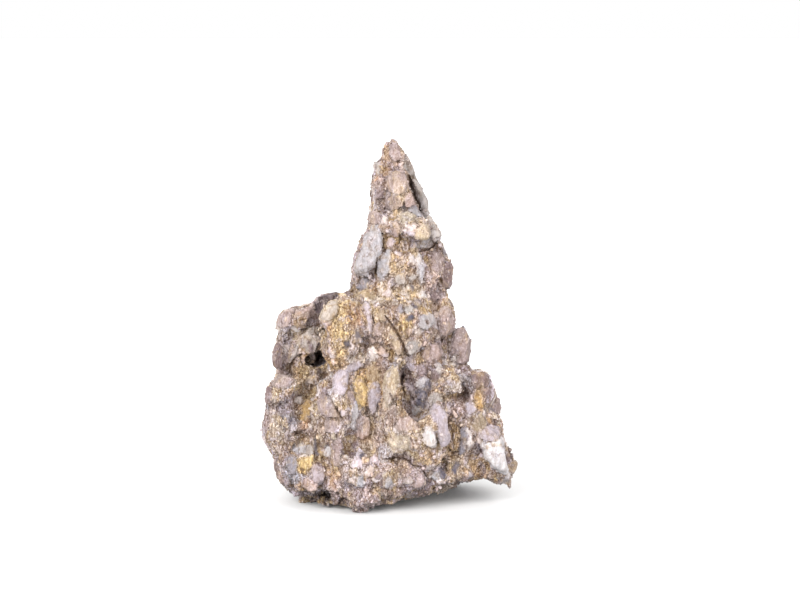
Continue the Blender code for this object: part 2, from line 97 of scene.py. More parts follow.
# Tints of quartz and chert, which are smooth; the other fragments are rough and stained
SMOOTH = ["white", "lilac", "pale_grey", "pale_blue", "blue", "navy"]

# Fragments all over the stone: half width, number, lean of the faces, how far they stand out, and
# how much of their tint is their own and not that of the region around them
FRAGMENTS = [
    (8.0, 230, 0.2, 0.7, 0.85),
    (4.2, 2000, 0.32, 0.55, 0.65),
    (2.2, 9000, 0.45, 0.5, 0.4),
]

# Width of the regions that share a tint, and their number
REGIONS = (12.0, 160)

# Closed blocks that the stone is cut into, by the height where each one starts
BLOCKS = [
    ("stone_foot", -20.0), ("stone_base", 30.0), ("stone_waist", 66.0), ("stone_shoulder", 108.0),
    ("stone_spire", 158.0),
]
SLAB_WIDTH = 400.0

# How much longer than wide the ribs and streaks of the stone are
DRAWN_OUT = 2.4

# What is stored for every point of the skin, and how its value is called
ATTRIBUTES = [("tint", "color"), ("grime_and_shade", "value"), ("edge", "value"), ("plain", "value"), ("rib", "value")]

# How much wider than its outline below a clast is, because its rim is ragged and stained
GROWTH = 0.12

# Clasts of the seen face: tint, how far it stands out, and its outline as (right, up)
CLASTS = [
    ("pale_grey", 1.6, [(12, 271), (15, 267), (18, 260), (22, 251), (27, 240), (32, 228), (37, 216), (39, 210),
                    (33, 215), (29, 222), (25, 230), (22, 238), (19, 246), (16, 254), (12, 262)]),
    ("mauve", 2.2, [(0, 243), (-1, 250), (1, 257), (6, 259), (11, 257), (14, 252), (15, 247), (10, 242)]),
    ("mauve", 1.8, [(-3, 231), (-2, 238), (3, 241), (8, 240), (10, 234), (6, 230), (1, 229)]),
    ("pink", 1.6, [(11, 233), (11, 239), (15, 243), (18, 239), (19, 234), (15, 231)]),
    ("pale_blue", 1.4, [(15, 230), (17, 233), (20, 232), (23, 227), (26, 222), (21, 224), (17, 226)]),
    ("dark_mauve", 1.4, [(-11, 240), (-11, 248), (-7, 250), (-4, 245), (-5, 239), (-8, 237)]),
    ("pale_grey", 1.2, [(-12, 258), (-12, 265), (-9, 267), (-7, 262), (-8, 257)]),
    ("mauve", 1.4, [(-1, 272), (0, 280), (4, 281), (8, 276), (8, 270), (4, 268)]),
    ("pink", 1.6, [(-16, 221), (-14, 228), (-11, 233), (-8, 230), (-7, 222), (-9, 217), (-14, 217)]),
    ("ochre", 1.2, [(-1, 221), (0, 225), (4, 229), (6, 227), (3, 222)]),
    ("cream", 1.8, [(7, 221), (9, 226), (14, 228), (19, 225), (22, 222), (16, 221), (11, 219)]),
    ("mauve", 1.8, [(1, 211), (1, 218), (5, 220), (8, 217), (8, 211), (5, 209)]),
    ("cream", 2.0, [(20, 209), (21, 215), (25, 218), (30, 216), (32, 211), (29, 207), (23, 206)]),
    ("pale_grey", 1.8, [(30, 209), (33, 213), (38, 212), (38, 209), (33, 206)]),
    ("pale_blue", 2.2, [(22, 199), (25, 206), (31, 208), (34, 204), (30, 199)]),
    ("pale_blue", 2.6, [(-10, 216), (-16, 215), (-20, 209), (-20, 203), (-22, 197), (-26, 187), (-27, 182),
                        (-22, 177), (-18, 178), (-13, 182), (-10, 189), (-8, 198), (-7, 206), (-8, 213)]),
    ("pale_blue", 2.0, [(-10, 178), (-10, 186), (-7, 192), (-3, 198), (-1, 199), (1, 196), (0, 188),
                        (0, 182), (-4, 176), (-8, 175)]),
    ("white", 1.8, [(20, 193), (22, 196), (25, 190), (26, 182), (27, 174), (24, 171), (22, 176), (20, 186)]),
    ("pale_blue", 2.2, [(22, 179), (23, 187), (26, 184), (26, 178), (24, 175)]),
    ("mauve", 1.8, [(33, 186), (32, 194), (34, 199), (38, 198), (41, 190), (42, 184), (38, 181), (34, 183)]),
    ("dark_mauve", 1.6, [(42, 170), (41, 178), (42, 186), (47, 188), (50, 180), (49, 173), (45, 167)]),
    ("pale_grey", 1.6, [(3, 173), (4, 178), (8, 179), (12, 177), (12, 173), (8, 171)]),
    ("blue", 1.2, [(-25, 169), (-24, 175), (-20, 178), (-16, 175), (-17, 169), (-21, 166)]),
    ("navy", 1.4, [(15, 166), (16, 171), (19, 170), (19, 166), (17, 164)]),
    ("white", 1.8, [(21, 162), (22, 167), (26, 167), (28, 163), (25, 160)]),
    ("dark_mauve", 1.4, [(31, 160), (33, 166), (37, 165), (38, 161), (34, 157)]),
    ("navy", 1.4, [(17, 158), (19, 160), (22, 159), (24, 155), (20, 153), (17, 155)]),
    ("blue", 1.4, [(6, 150), (7, 155), (10, 156), (11, 151), (9, 147)]),
    ("pale_grey", 1.6, [(11, 150), (12, 154), (16, 156), (19, 153), (18, 149), (14, 148)]),
    ("navy", 1.2, [(11, 144), (13, 146), (17, 147), (19, 145), (15, 142)]),
    ("pale_blue", 1.4, [(22, 140), (24, 146), (29, 148), (34, 146), (35, 141), (31, 137), (26, 136)]),
    ("pink", 2.4, [(40, 150), (43, 154), (46, 152), (50, 145), (50, 141), (48, 135), (44, 131), (39, 133),
                   (38, 140), (39, 146)]),
    ("pink", 1.2, [(12, 134), (14, 138), (18, 137), (18, 133), (14, 131)]),
    ("pale_grey", 1.6, [(12, 121), (14, 127), (19, 128), (22, 125), (21, 120), (17, 117), (13, 118)]),
    ("mauve", 1.6, [(24, 116), (27, 122), (33, 124), (40, 125), (42, 119), (38, 113), (31, 111),
                        (26, 112)]),
    ("mauve", 2.6, [(50, 133), (54, 138), (58, 139), (61, 134), (63, 130), (64, 126), (62, 118), (60, 111),
                    (55, 110), (49, 113), (48, 122)]),
    ("white", 2.8, [(48, 112), (49, 116), (53, 116), (54, 112), (51, 110)]),
    ("dark_mauve", 1.4, [(32, 98), (33, 103), (37, 104), (39, 100), (36, 96)]),
    ("white", 1.4, [(35, 104), (36, 109), (39, 110), (41, 106), (38, 102)]),
    ("dark_mauve", 1.4, [(21, 101), (22, 106), (26, 108), (29, 104), (27, 100)]),
    ("pale_blue", 1.8, [(20, 92), (21, 97), (26, 99), (30, 97), (28, 92), (24, 89)]),
    ("navy", 1.6, [(28, 90), (28, 97), (32, 97), (32, 90), (30, 86)]),
    ("navy", 1.8, [(19, 88), (22, 90), (28, 88), (29, 84), (26, 80), (21, 82)]),
    ("navy", 1.6, [(20, 80), (22, 82), (28, 80), (28, 74), (24, 71), (21, 75)]),
    ("white", 1.8, [(17, 73), (19, 77), (23, 76), (24, 72), (21, 69), (18, 70)]),
    ("pale_grey", 1.8, [(30, 81), (32, 85), (37, 86), (41, 83), (40, 79), (34, 77)]),
    ("lilac", 2.4, [(31, 72), (33, 77), (38, 76), (42, 72), (44, 66), (46, 58), (47, 50), (45, 43), (42, 38),
                    (39, 42), (38, 50), (37, 60), (34, 66)]),
    ("white", 2.2, [(26, 57), (29, 61), (32, 59), (35, 52), (36, 46), (33, 43), (29, 47), (26, 51)]),
    ("blue", 1.8, [(53, 42), (55, 52), (55, 58), (59, 60), (61, 57), (60, 50), (59, 42), (56, 39)]),
    ("white", 2.4, [(58, 57), (61, 59), (63, 56), (64, 51), (63, 45), (61, 43), (60, 48), (61, 53)]),
    ("lilac", 2.2, [(60, 78), (62, 81), (65, 79), (68, 74), (66, 71), (61, 70), (60, 74)]),
    ("ochre", 1.4, [(65, 82), (67, 87), (70, 84), (72, 77), (72, 71), (69, 75), (68, 80)]),
    ("olive", 1.2, [(64, 60), (66, 68), (71, 69), (75, 65), (73, 58), (68, 55)]),
    ("white", 2.6, [(72, 46), (74, 52), (78, 48), (83, 49), (86, 55), (90, 50), (91, 42), (93, 34), (93, 26),
                    (91, 21), (87, 24), (82, 29), (78, 34), (74, 39)]),
    ("lilac", 2.6, [(70, 52), (72, 57), (77, 62), (84, 60), (87, 55), (83, 50), (78, 49), (73, 50)]),
    ("tan", 2.0, [(93, 25), (93, 32), (97, 34), (99, 29), (97, 24)]),
    ("dark_mauve", 1.8, [(90, 38), (88, 52), (90, 53), (93, 45), (94, 37), (92, 33)]),
    ("navy", 1.4, [(48, 27), (49, 32), (52, 33), (54, 29), (52, 24), (49, 24)]),
    ("navy", 1.8, [(38, 22), (38, 27), (41, 28), (44, 23), (42, 20)]),
    ("pale_blue", 1.8, [(31, 20), (34, 25), (38, 26), (39, 20), (35, 18)]),
    ("dark_mauve", 2.0, [(64, 92), (65, 100), (70, 103), (75, 103), (77, 96), (74, 91), (68, 90)]),
    ("dark_mauve", 1.4, [(70, 86), (71, 91), (77, 91), (78, 86), (74, 84)]),
    ("mauve", 1.8, [(80, 89), (83, 88), (86, 80), (86, 70), (85, 62), (82, 60), (81, 68), (80, 78)]),
    ("mauve", 2.0, [(18, 14), (20, 20), (24, 26), (27, 21), (27, 14), (24, 11)]),
    ("pale_grey", 1.4, [(10, 15), (11, 20), (16, 22), (19, 18), (16, 14)]),
    ("pale_blue", 1.4, [(-5, 14), (-4, 20), (0, 22), (3, 18), (1, 14)]),
    ("plum", 1.8, [(-59, 158), (-57, 161), (-50, 163), (-43, 164), (-39, 162), (-44, 159), (-50, 154),
                   (-54, 149), (-57, 152)]),
    ("pale_grey", 2.4, [(-54, 146), (-50, 153), (-45, 158), (-41, 158), (-41, 150), (-46, 144), (-51, 142)]),
    ("pink", 1.6, [(-88, 140), (-86, 146), (-80, 150), (-75, 151), (-76, 145), (-79, 140), (-84, 137)]),
    ("pink", 1.6, [(-74, 147), (-73, 152), (-64, 153), (-58, 150), (-62, 145), (-69, 145)]),
    ("dark_mauve", 1.4, [(-72, 139), (-70, 143), (-67, 142), (-67, 138), (-70, 137)]),
    ("white", 1.4, [(-77, 139), (-74, 139), (-70, 134), (-73, 133)]),
    ("dark_mauve", 2.0, [(-89, 129), (-91, 122), (-91, 112), (-89, 104), (-86, 101), (-84, 106), (-85, 114),
                         (-86, 122)]),
    ("mauve", 1.8, [(-70, 128), (-76, 123), (-82, 116), (-84, 110), (-80, 111), (-75, 115), (-71, 120),
                    (-70, 124)]),
    ("pale_grey", 1.8, [(-80, 113), (-74, 120), (-70, 130), (-64, 137), (-57, 137), (-55, 128), (-58, 120),
                        (-63, 117), (-67, 120), (-70, 124), (-72, 117), (-76, 113)]),
    ("dark_mauve", 1.6, [(-64, 124), (-66, 130), (-62, 127), (-60, 121), (-62, 119)]),
    ("navy", 1.4, [(-37, 123), (-36, 128), (-32, 128), (-31, 124), (-34, 121)]),
    ("navy", 1.4, [(-29, 131), (-27, 136), (-23, 134), (-21, 128), (-23, 124), (-27, 127)]),
    ("tan", 1.4, [(-26, 160), (-23, 166), (-16, 167), (-11, 163), (-13, 159), (-19, 161)]),
    ("lilac", 2.0, [(-21, 158), (-18, 160), (-16, 155), (-15, 145), (-14, 132), (-16, 131), (-18, 137),
                    (-19, 146), (-20, 152)]),
    ("olive", 1.8, [(-10, 147), (-8, 152), (-3, 151), (-1, 146), (-4, 142), (-8, 142)]),
    ("tan", 1.8, [(0, 139), (4, 133), (8, 125), (10, 118), (6, 117), (3, 122), (1, 130)]),
    ("mauve", 1.4, [(-13, 132), (-13, 140), (-9, 142), (-5, 138), (-6, 132), (-9, 130)]),
    ("mauve", 1.6, [(-91, 92), (-88, 98), (-84, 102), (-78, 100), (-75, 95), (-80, 91), (-86, 90)]),
    ("dark_mauve", 2.0, [(-92, 93), (-96, 89), (-98, 83), (-97, 77), (-94, 80), (-92, 86)]),
    ("navy", 1.4, [(-84, 72), (-81, 74), (-80, 70), (-83, 69)]),
    ("navy", 1.4, [(-79, 62), (-79, 66), (-76, 67), (-76, 62)]),
    ("ochre", 1.6, [(-70, 68), (-68, 77), (-64, 82), (-61, 79), (-62, 71), (-66, 64)]),
    ("pale_blue", 1.8, [(-77, 42), (-74, 46), (-69, 48), (-65, 46), (-66, 40), (-72, 39)]),
    ("pale_grey", 1.8, [(-66, 40), (-65, 46), (-61, 47), (-58, 43), (-60, 38), (-64, 37)]),
    ("navy", 1.4, [(-60, 50), (-58, 52), (-56, 44), (-55, 38), (-58, 38), (-60, 44)]),
    ("blue", 1.8, [(-80, 36), (-77, 38), (-74, 36), (-72, 30), (-74, 24), (-78, 23), (-81, 28)]),
    ("yellow", 1.4, [(-70, 34), (-66, 36), (-60, 35), (-60, 29), (-64, 26), (-69, 28)]),
    ("lilac", 1.8, [(-62, 28), (-58, 31), (-53, 28), (-50, 22), (-53, 16), (-58, 15), (-62, 20)]),
    ("pink", 1.8, [(-68, 19), (-64, 20), (-58, 16), (-58, 11), (-63, 10), (-68, 13)]),
    ("mauve", 2.0, [(-90, 35), (-88, 30), (-86, 22), (-81, 14), (-85, 17), (-89, 24), (-90, 30)]),
    ("lilac", 2.4, [(-44, 87), (-44, 94), (-43, 100), (-40, 104), (-35, 104), (-32, 101), (-33, 95),
                    (-35, 88), (-38, 85)]),
    ("lilac", 1.8, [(-35, 105), (-30, 109), (-24, 112), (-22, 108), (-27, 104), (-32, 102)]),
    ("mauve", 1.4, [(-35, 80), (-35, 87), (-31, 89), (-27, 86), (-29, 80), (-32, 77)]),
    ("yellow", 1.8, [(-28, 92), (-25, 99), (-20, 98), (-18, 92), (-18, 84), (-20, 76), (-24, 76),
                     (-27, 84)]),
    ("lilac", 1.8, [(-17, 86), (-15, 93), (-10, 95), (-8, 90), (-8, 82), (-10, 74), (-14, 71), (-17, 76)]),
    ("tan", 1.4, [(-18, 98), (-18, 107), (-12, 108), (-8, 104), (-8, 98), (-12, 95)]),
    ("cream", 1.8, [(-5, 96), (-3, 104), (1, 109), (6, 108), (8, 102), (6, 94), (3, 84), (-1, 76),
                    (-4, 84)]),
    ("mauve", 2.4, [(-57, 85), (-53, 87), (-49, 84), (-45, 78), (-40, 70), (-41, 67), (-46, 68), (-52, 70),
                    (-56, 77)]),
    ("pale_blue", 1.4, [(-29, 76), (-26, 78), (-24, 74), (-25, 66), (-27, 57), (-30, 60), (-30, 68)]),
    ("pink", 2.0, [(-27, 60), (-26, 66), (-21, 69), (-16, 66), (-15, 59), (-17, 53), (-22, 51), (-26, 54)]),
    ("mauve", 1.8, [(-46, 40), (-45, 50), (-41, 56), (-38, 50), (-38, 40), (-38, 32), (-42, 30),
                    (-45, 34)]),
    ("cream", 1.8, [(-46, 53), (-44, 57), (-42, 55), (-42, 51), (-45, 50)]),
    ("white", 1.6, [(-53, 40), (-50, 46), (-46, 44), (-46, 38), (-50, 36)]),
    ("navy", 1.4, [(-24, 37), (-23, 40), (-20, 40), (-20, 37), (-22, 35)]),
    ("pale_blue", 1.6, [(-27, 15), (-25, 21), (-21, 21), (-19, 16), (-22, 12)]),
    ("dark_mauve", 1.4, [(-13, 20), (-12, 24), (-8, 25), (-6, 21), (-9, 19)]),
    ("mauve", 1.6, [(-1, 71), (0, 76), (3, 76), (4, 71), (2, 69)]),
    ("mauve", 1.8, [(-52, 57), (-51, 66), (-46, 66), (-41, 64), (-42, 58), (-47, 55)]),
    ("pink", 2.0, [(5, 60), (8, 68), (16, 67), (22, 63), (22, 57), (14, 56), (8, 56)]),
    ("cream", 2.0, [(0, 46), (2, 56), (8, 54), (14, 53), (15, 45), (10, 41), (3, 41)]),
]

# Stained ground between the clasts, with some dark and brown patches of painted shade in hollows and along the
# bottom: tint, middle (right, up), half width, half height, strength
GROUND = [
    ("mauve", (4, 272), 14, 18, 0.7), ("ochre", (-4, 273), 3.5, 7, 0.4), ("mauve", (-9, 248), 8, 20, 0.6),
    ("orange", (-11, 253), 4, 4, 0.9), ("tan", (4, 250), 10, 12, 0.6), ("mauve", (26, 240), 8, 32, 0.8),
    ("cream", (14, 222), 14, 8, 0.6), ("orange", (19, 211), 3, 4, 0.9), ("ochre", (-3, 204), 5, 6, 0.9),
    ("tan", (24, 212), 12, 8, 0.6), ("brown", (34, 204), 6, 5, 0.4), ("ochre", (9, 188), 11, 13, 0.75),
    ("yellow", (6, 184), 6, 6, 0.4), ("brown", (29, 194), 4, 8, 0.7), ("pink", (33, 177), 8, 10, 0.6),
    ("dark_mauve", (45, 178), 6, 12, 0.7), ("olive", (-33, 170), 7, 10, 0.7), ("ochre", (-8, 167), 10, 5, 0.8),
    ("yellow", (8, 163), 16, 7, 0.8), ("yellow", (28, 153), 14, 6, 0.6), ("yellow", (13, 139), 5, 4, 0.4),
    ("yellow", (-42, 142), 14, 20, 0.95), ("orange", (-27, 146), 7, 9, 0.8), ("orange", (-50, 138), 4, 6, 0.7),
    ("ochre", (-44, 118), 10, 16, 0.7), ("brown", (-50, 128), 4, 7, 0.5), ("tan", (-8, 140), 12, 14, 0.5),
    ("brown", (-12, 125), 9, 8, 0.75), ("orange", (-9, 117), 5, 6, 0.6), ("cream", (-24, 116), 10, 8, 0.5),
    ("ochre", (-12, 102), 9, 8, 0.5), ("tan", (8, 114), 10, 8, 0.5), ("pink", (-74, 148), 14, 8, 0.7),
    ("pale_grey", (-84, 132), 8, 14, 0.6), ("pale_grey", (-66, 134), 10, 8, 0.6), ("mauve", (-80, 112), 8, 12, 0.6),
    ("ochre", (-67, 116), 4, 7, 0.9), ("tan", (-60, 102), 14, 6, 0.8), ("tan", (-62, 92), 9, 8, 0.7),
    ("cream", (-86, 97), 9, 6, 0.6), ("mauve", (-84, 78), 8, 10, 0.5), ("tan", (-92, 68), 7, 12, 0.6),
    ("brown", (-94, 50), 6, 9, 0.6), ("ochre", (-68, 74), 7, 10, 0.7), ("orange", (-66, 62), 5, 5, 0.8),
    ("brown", (-70, 54), 6, 4, 0.9), ("ochre", (-56, 62), 6, 14, 0.6), ("ochre", (-82, 44), 5, 6, 0.5),
    ("yellow", (-65, 31), 7, 6, 0.5), ("mauve", (-86, 26), 5, 12, 0.6), ("pink", (-62, 14), 9, 6, 0.6),
    ("ochre", (-44, 24), 8, 10, 0.8), ("orange", (-42, 18), 4, 6, 0.6), ("cream", (-34, 30), 9, 8, 0.5),
    ("ochre", (-20, 76), 4, 8, 0.6), ("orange", (-22, 52), 8, 4, 0.5), ("ochre", (-16, 62), 4, 10, 0.6),
    ("cream", (4, 55), 14, 20, 0.75), ("pink", (6, 66), 12, 8, 0.5), ("tan", (24, 42), 10, 8, 0.6),
    # The brown and dark patches at (14, 88) and (9, 88) are painted shade in a hollow
    ("ochre", (30, 36), 8, 8, 0.5), ("brown", (14, 88), 5, 16, 0.6), ("dark", (9, 88), 2.5, 14, 0.6),
    ("pink", (-8, 52), 4, 10, 0.6), ("ochre", (6, 28), 12, 6, 0.5), ("pink", (22, 20), 7, 8, 0.7),
    # The brown patch at (6, 10) is painted shade in the crevice along the bottom
    ("mauve", (14, 18), 7, 4, 0.5), ("brown", (6, 10), 16, 3, 0.9), ("tan", (50, 92), 12, 12, 0.5),
    ("brown", (60, 90), 5, 5, 0.7), ("brown", (70, 97), 8, 7, 0.8), ("ochre", (69, 80), 4, 8, 0.9),
    ("olive", (69, 62), 6, 8, 0.9), ("tan", (47, 62), 3, 12, 0.5), ("ochre", (49, 44), 4, 8, 0.8),
    ("tan", (62, 36), 10, 6, 0.5), ("brown", (73, 26), 5, 6, 0.9), ("olive", (78, 24), 4, 6, 0.7),
    ("olive", (96, 28), 4, 8, 0.8), ("tan", (50, 15), 6, 5, 0.6), ("dark_mauve", (80, 76), 4, 10, 0.5),
    # The dark patches from here on are painted shade in hollows, as is the brown at (0, 12); the brown row from (4,
    # 6) to (82, 19) is painted shade under the stone
    ("dark", (-52, 4), 12, 5, 1.0), ("dark", (-36, 2), 5, 3.5, 1.0), ("dark", (-63, 4), 6, 4, 0.8),
    ("dark", (-52, 115), 4, 6, 0.7), ("olive", (-63, 114), 5, 6, 0.9), ("dark", (35, 11), 8, 4, 0.8),
    ("dark", (2, 34.5), 5, 2.5, 0.8), ("brown", (0, 12), 9, 2.5, 0.9), ("ochre", (50, 55), 4, 12, 0.8),
    ("brown", (4, 6), 12, 4, 0.8), ("brown", (24, 9), 10, 4, 0.8), ("brown", (44, 14), 10, 4, 0.8),
    ("brown", (64, 20), 10, 3.5, 0.8), ("brown", (82, 19), 8, 3, 0.7), ("brown", (0, 154), 7, 5, 0.65),
    ("mauve", (-32, 46), 8, 7, 0.3), ("cream", (-12, 70), 6, 6, 0.7), ("yellow", (-40, 74), 5, 10, 0.6),
    ("tan", (-56, 56), 6, 12, 0.6), ("yellow", (-52, 108), 5, 6, 0.6), ("pale_grey", (0, 226), 8, 8, 0.5),
]

# Rounded forms of the seen face: middle (right, up), half width, half height, turn to the left in
# degrees, and how far it stands out, or is hollow where negative
FORMS = [
    ((2.5, 276), 7, 9, -10, 2.5), ((-11, 255), 3.5, 13, 0, 1.5), ((6, 252), 7.5, 8.5, 0, 2.8),
    ((2, 236), 6, 7, 0, 2.2), ((13.5, 238), 4, 6, 0, 1.6), ((-10, 233), 3, 3, 0, -2.0),
    ((-12, 224), 4, 7, -10, 1.5), ((-2, 204), 4, 5, 0, 1.0), ((15, 222), 9, 4, -10, 1.5),
    ((24, 211), 7, 7, 0, 2.0), ((31, 199), 5, 3.5, 20, 1.0), ((38, 190), 4.5, 11, 10, 1.5),
    ((45.5, 178), 4, 10, 10, -1.5), ((7, 175), 4.5, 5, 0, 2.0), ((8, 190), 6, 8, 0, 1.0),
    ((24, 182), 3, 12, 0, 1.2), ((-29, 170), 5, 8, -20, 1.5), ((6, 161), 2.2, 2.5, 0, -3.0),
    ((3, 168), 2, 2, 0, -2.5), ((35, 162), 3.5, 4.5, 0, 1.5), ((-47, 151), 6, 8, -25, 2.0),
    ((-67, 128), 9, 7, -35, 2.2), ((-88, 115), 3, 14, 0, 2.0), ((-80, 112), 3, 9, -25, 1.6),
    ((-56, 114), 6, 6, 0, -4.0), ((-67, 114), 5, 5, 0, -2.0),
    ((-55, 123), 1.4, 4, 10, -2.5), ((-60, 104), 12, 4, 0, 1.5), ((-18, 146), 4, 14, 5, 1.6),
    ((-12, 124), 7, 8, 0, -1.2), ((-72, 149), 9, 4, -20, 1.5), ((45, 142), 5, 11, 0, 2.0),
    ((57, 124), 7, 14, 0, 1.5), ((16, 122), 5, 5, 0, 1.5),
    ((32, 118), 8, 7, 0, 1.2), ((10, 99), 3, 8, 0, -1.0), ((1, 103), 7, 8, 30, 2.2),
    ((28, 142), 6, 6, 0, 1.0), ((-88, 96), 8, 6, 0, 1.6), ((-61, 90), 3, 6, 0, -1.5),
    ((-65, 73), 3, 9, -25, 1.8), ((-72, 72), 3, 8, -20, 1.5), ((-70, 55), 7, 3.5, -15, -3.5),
    ((-49, 78), 5, 12, 35, 1.8), ((-38, 94), 5, 9, 0, 2.0), ((-31, 84), 4, 5, 0, 1.2),
    ((-24, 88), 4, 11, 0, 1.6), ((-13, 83), 4.5, 11, 0, 1.6), ((-21, 60), 6, 9, 0, 2.0),
    ((-45, 54), 3, 4, 0, 1.2), ((-52, 50), 5, 12, 0, 1.2), ((-42, 45), 4, 10, 20, 1.2),
    ((-57, 46), 2, 8, 20, -1.5), ((10, 102), 2, 4, 0, -2.0),
    ((25, 93), 6, 6, 0, 1.2), ((36, 81), 6, 5, 0, 1.2), ((39, 60), 5, 16, 10, 2.0),
    ((63, 76), 4, 6, 0, 1.4), ((70, 76), 3, 10, 10, 1.4),
    ((59, 52), 4, 10, 0, 1.4), ((30, 52), 5, 9, 10, 1.8),
    ((10, 58), 14, 14, 0, 2.0), ((60, 90), 4, 4, 0, 1.0),
    ((72, 98), 5, 5, 0, 1.4), ((-52, 4), 12, 5, 0, -8.0), ((-36, 2), 5, 3.5, 0, -7.0),
    ((-63, 4), 6, 4, 0, -6.0), ((-25, 3), 7, 6, 0, 2.0), ((2, 34.5), 6, 2.5, 0, -3.5),
    ((0, 12), 10, 2.5, 0, -3.0), ((5, 7), 12, 3, 0, 1.5), ((-76, 30), 5, 9, 0, 1.2),
    ((16, 17), 10, 8, 0, 2.0),
    ((42, 23), 4, 4, 0, 1.2), ((40, 12), 10, 4, 0, -8.0), ((48, 15), 6, 5, 0, 1.6),
]

# Holes that are no deeper than this: middle (right, up), half width, half height, depth
SHALLOWS = [
    ((-53, 136), 4.5, 4.5, 1.5), ((43, 31), 5, 5, 2.5), ((74, 28), 6, 7, 2.5), ((20, 86), 13, 18, 3.5),
    ((30, 200), 9, 5, 1.5), ((-2, 203), 5, 5, 1.0), ((46, 124), 5, 10, 1.0), ((50, 56), 6, 15, 0.5),
    ((-62, 115), 5, 5.5, 2.5),
]

# Cracks of the seen face: half width, depth, and the way they run as (right, up)
CRACKS = [
    (0.8, 2.5, [(-4, 147), (0, 142), (5, 135), (9, 127), (12, 120), (15, 115)]),
    (0.7, 1.5, [(-50, 87), (-45, 80), (-40, 71), (-37, 66)]),
    (1.5, 5.0, [(14, 256), (17, 247), (19, 241), (21, 236), (24, 229)]),
    (0.8, 2.2, [(23, 197), (28, 198), (33, 200), (37, 206)]),
    (0.9, 2.5, [(7, 211), (8, 207), (7, 203)]),
    (0.9, 2.5, [(-10, 192), (-11, 186), (-11, 180)]),
    (0.6, 1.2, [(44, 71), (46, 64), (48, 57), (49, 50), (50, 42)]),
    (0.8, 2.0, [(9, 103), (9, 94), (11, 88), (8, 83), (12, 77)]),
    (0.8, 2.0, [(0, 86), (3, 80), (6, 76)]),
    (0.7, 2.2, [(-4, 35), (2, 36), (10, 36), (14, 34), (18, 30), (24, 29), (27, 24), (28, 20)]),
    (0.7, 1.4, [(45, 131), (45, 124), (46, 118)]),
    (0.8, 2.0, [(-74, 55), (-70, 56), (-65, 58)]),
    (0.8, 2.0, [(-14, 150), (-13, 144), (-12, 141)]),
    (0.8, 2.0, [(4, 163), (7, 161), (8, 158)]),
    (0.8, 2.0, [(92, 50), (93, 42), (96, 34)]),
]


def linear(seen):
    """A colour as seen, from 0 to 255, as the linear values that the stone's shader takes."""
    part = np.asarray(seen, float) / 255.0
    return LIGHTNESS * np.where(part <= 0.04045, part / 12.92, ((part + 0.055) / 1.055) ** 2.4)


def aim_at(right, up):
    """The direction of the line of sight through (right, up)."""
    way = FORWARD * VIEW_DISTANCE + UPWARD * (up - VIEW_CENTRE[1])
    way[0] += right - VIEW_CENTRE[0]
    return way / np.linalg.norm(way)


def seen_places(points):
    """Where points are seen, as (right, up) in two columns."""
    way = points - EYE
    reach = VIEW_DISTANCE / (way @ FORWARD)
    return np.column_stack((way[:, 0] * reach + VIEW_CENTRE[0], (way @ UPWARD) * reach + VIEW_CENTRE[1]))


def unit(rows):
    return rows / np.maximum(np.linalg.norm(rows, axis=-1, keepdims=True), 1e-9)


def points_of(mesh):
    """A mesh's vertices in millimetres."""
    flat = np.empty(len(mesh.vertices) * 3, np.float32)
    mesh.vertices.foreach_get("co", flat)
    return flat.reshape(-1, 3).astype(float) / MM


def set_points(mesh, points):
    mesh.vertices.foreach_set("co", (points * MM).astype(np.float32).ravel())
    mesh.update()


def facings_of(mesh):
    flat = np.empty(len(mesh.vertices) * 3, np.float32)
    mesh.vertex_normals.foreach_get("vector", flat)
    return flat.reshape(-1, 3).astype(float)


def pairs_of(mesh):
    flat = np.empty(len(mesh.edges) * 2, np.int32)
    mesh.edges.foreach_get("vertices", flat)
    return flat.reshape(-1, 2)


def blurred(values, pairs, rounds):
    """Values of the vertices pulled to the mean of their neighbours that many times."""
    flat = values.reshape(len(values), -1)
    count = np.bincount(pairs.ravel(), minlength=len(flat))[:, None]
    for _ in range(rounds):
        total = np.zeros_like(flat)
        for column in range(flat.shape[1]):
            total[:, column] = np.bincount(pairs[:, 0], flat[pairs[:, 1], column], len(flat))
            total[:, column] += np.bincount(pairs[:, 1], flat[pairs[:, 0], column], len(flat))
        flat = (flat + total) / (count + 1)
    return flat.reshape(values.shape)


def wavering(points, size, strength):
    """A smooth random shift for each point, for outlines that run raggedly."""
    shifts = [noise.noise_vector(p) for p in (points / size).tolist()]
    return np.array(shifts) * strength


def ridges(points, size, octaves):
    """Upright ribs and creases that branch like frozen drips, from about -1 to 1 for each point."""
    drawn = points * (1.0, 1.0, 1.0 / DRAWN_OUT) / size
    heights = [noise.ridged_multi_fractal(p, 1.0, 2.1, octaves, 1.0, 2.0) for p in drawn.tolist()]
    heights = np.array(heights)
    return np.clip((heights - heights.mean()) / (2.0 * heights.std()), -1.0, 1.0)


def crumbs(points, size, octaves):
    """Sharp creases between small lumps, from about -1 to 1 for each point."""
    heights = np.array([noise.turbulence(p, octaves, True) for p in (points / size).tolist()])
    return np.clip((heights - heights.mean()) / (2.0 * heights.std()), -1.5, 1.5)


def new_object(name, mesh):
    made = bpy.data.objects.new(name, mesh)
    bpy.context.scene.collection.objects.link(made)
    return made


def bake_down(source):
    """Replaces the object's mesh by its evaluated one and drops the modifiers."""
    graph = bpy.context.evaluated_depsgraph_get()
    mesh = bpy.data.meshes.new_from_object(source.evaluated_get(graph))
    source.modifiers.clear()
    source.data = mesh


def roughen(source, kind, size, strength, mid=0.5, hard=False):
    """Moves the surface in and out by a 3-D pattern of that size and strength in millimetres."""
    texture = bpy.data.textures.new("relief", kind)
    texture.noise_scale = size * MM
    if hard:
        texture.noise_type = "HARD_NOISE"
    mod = source.modifiers.new("Relief", "DISPLACE")
    mod.texture = texture
    mod.texture_coords = "LOCAL"
    mod.mid_level = mid
    mod.strength = strength * MM


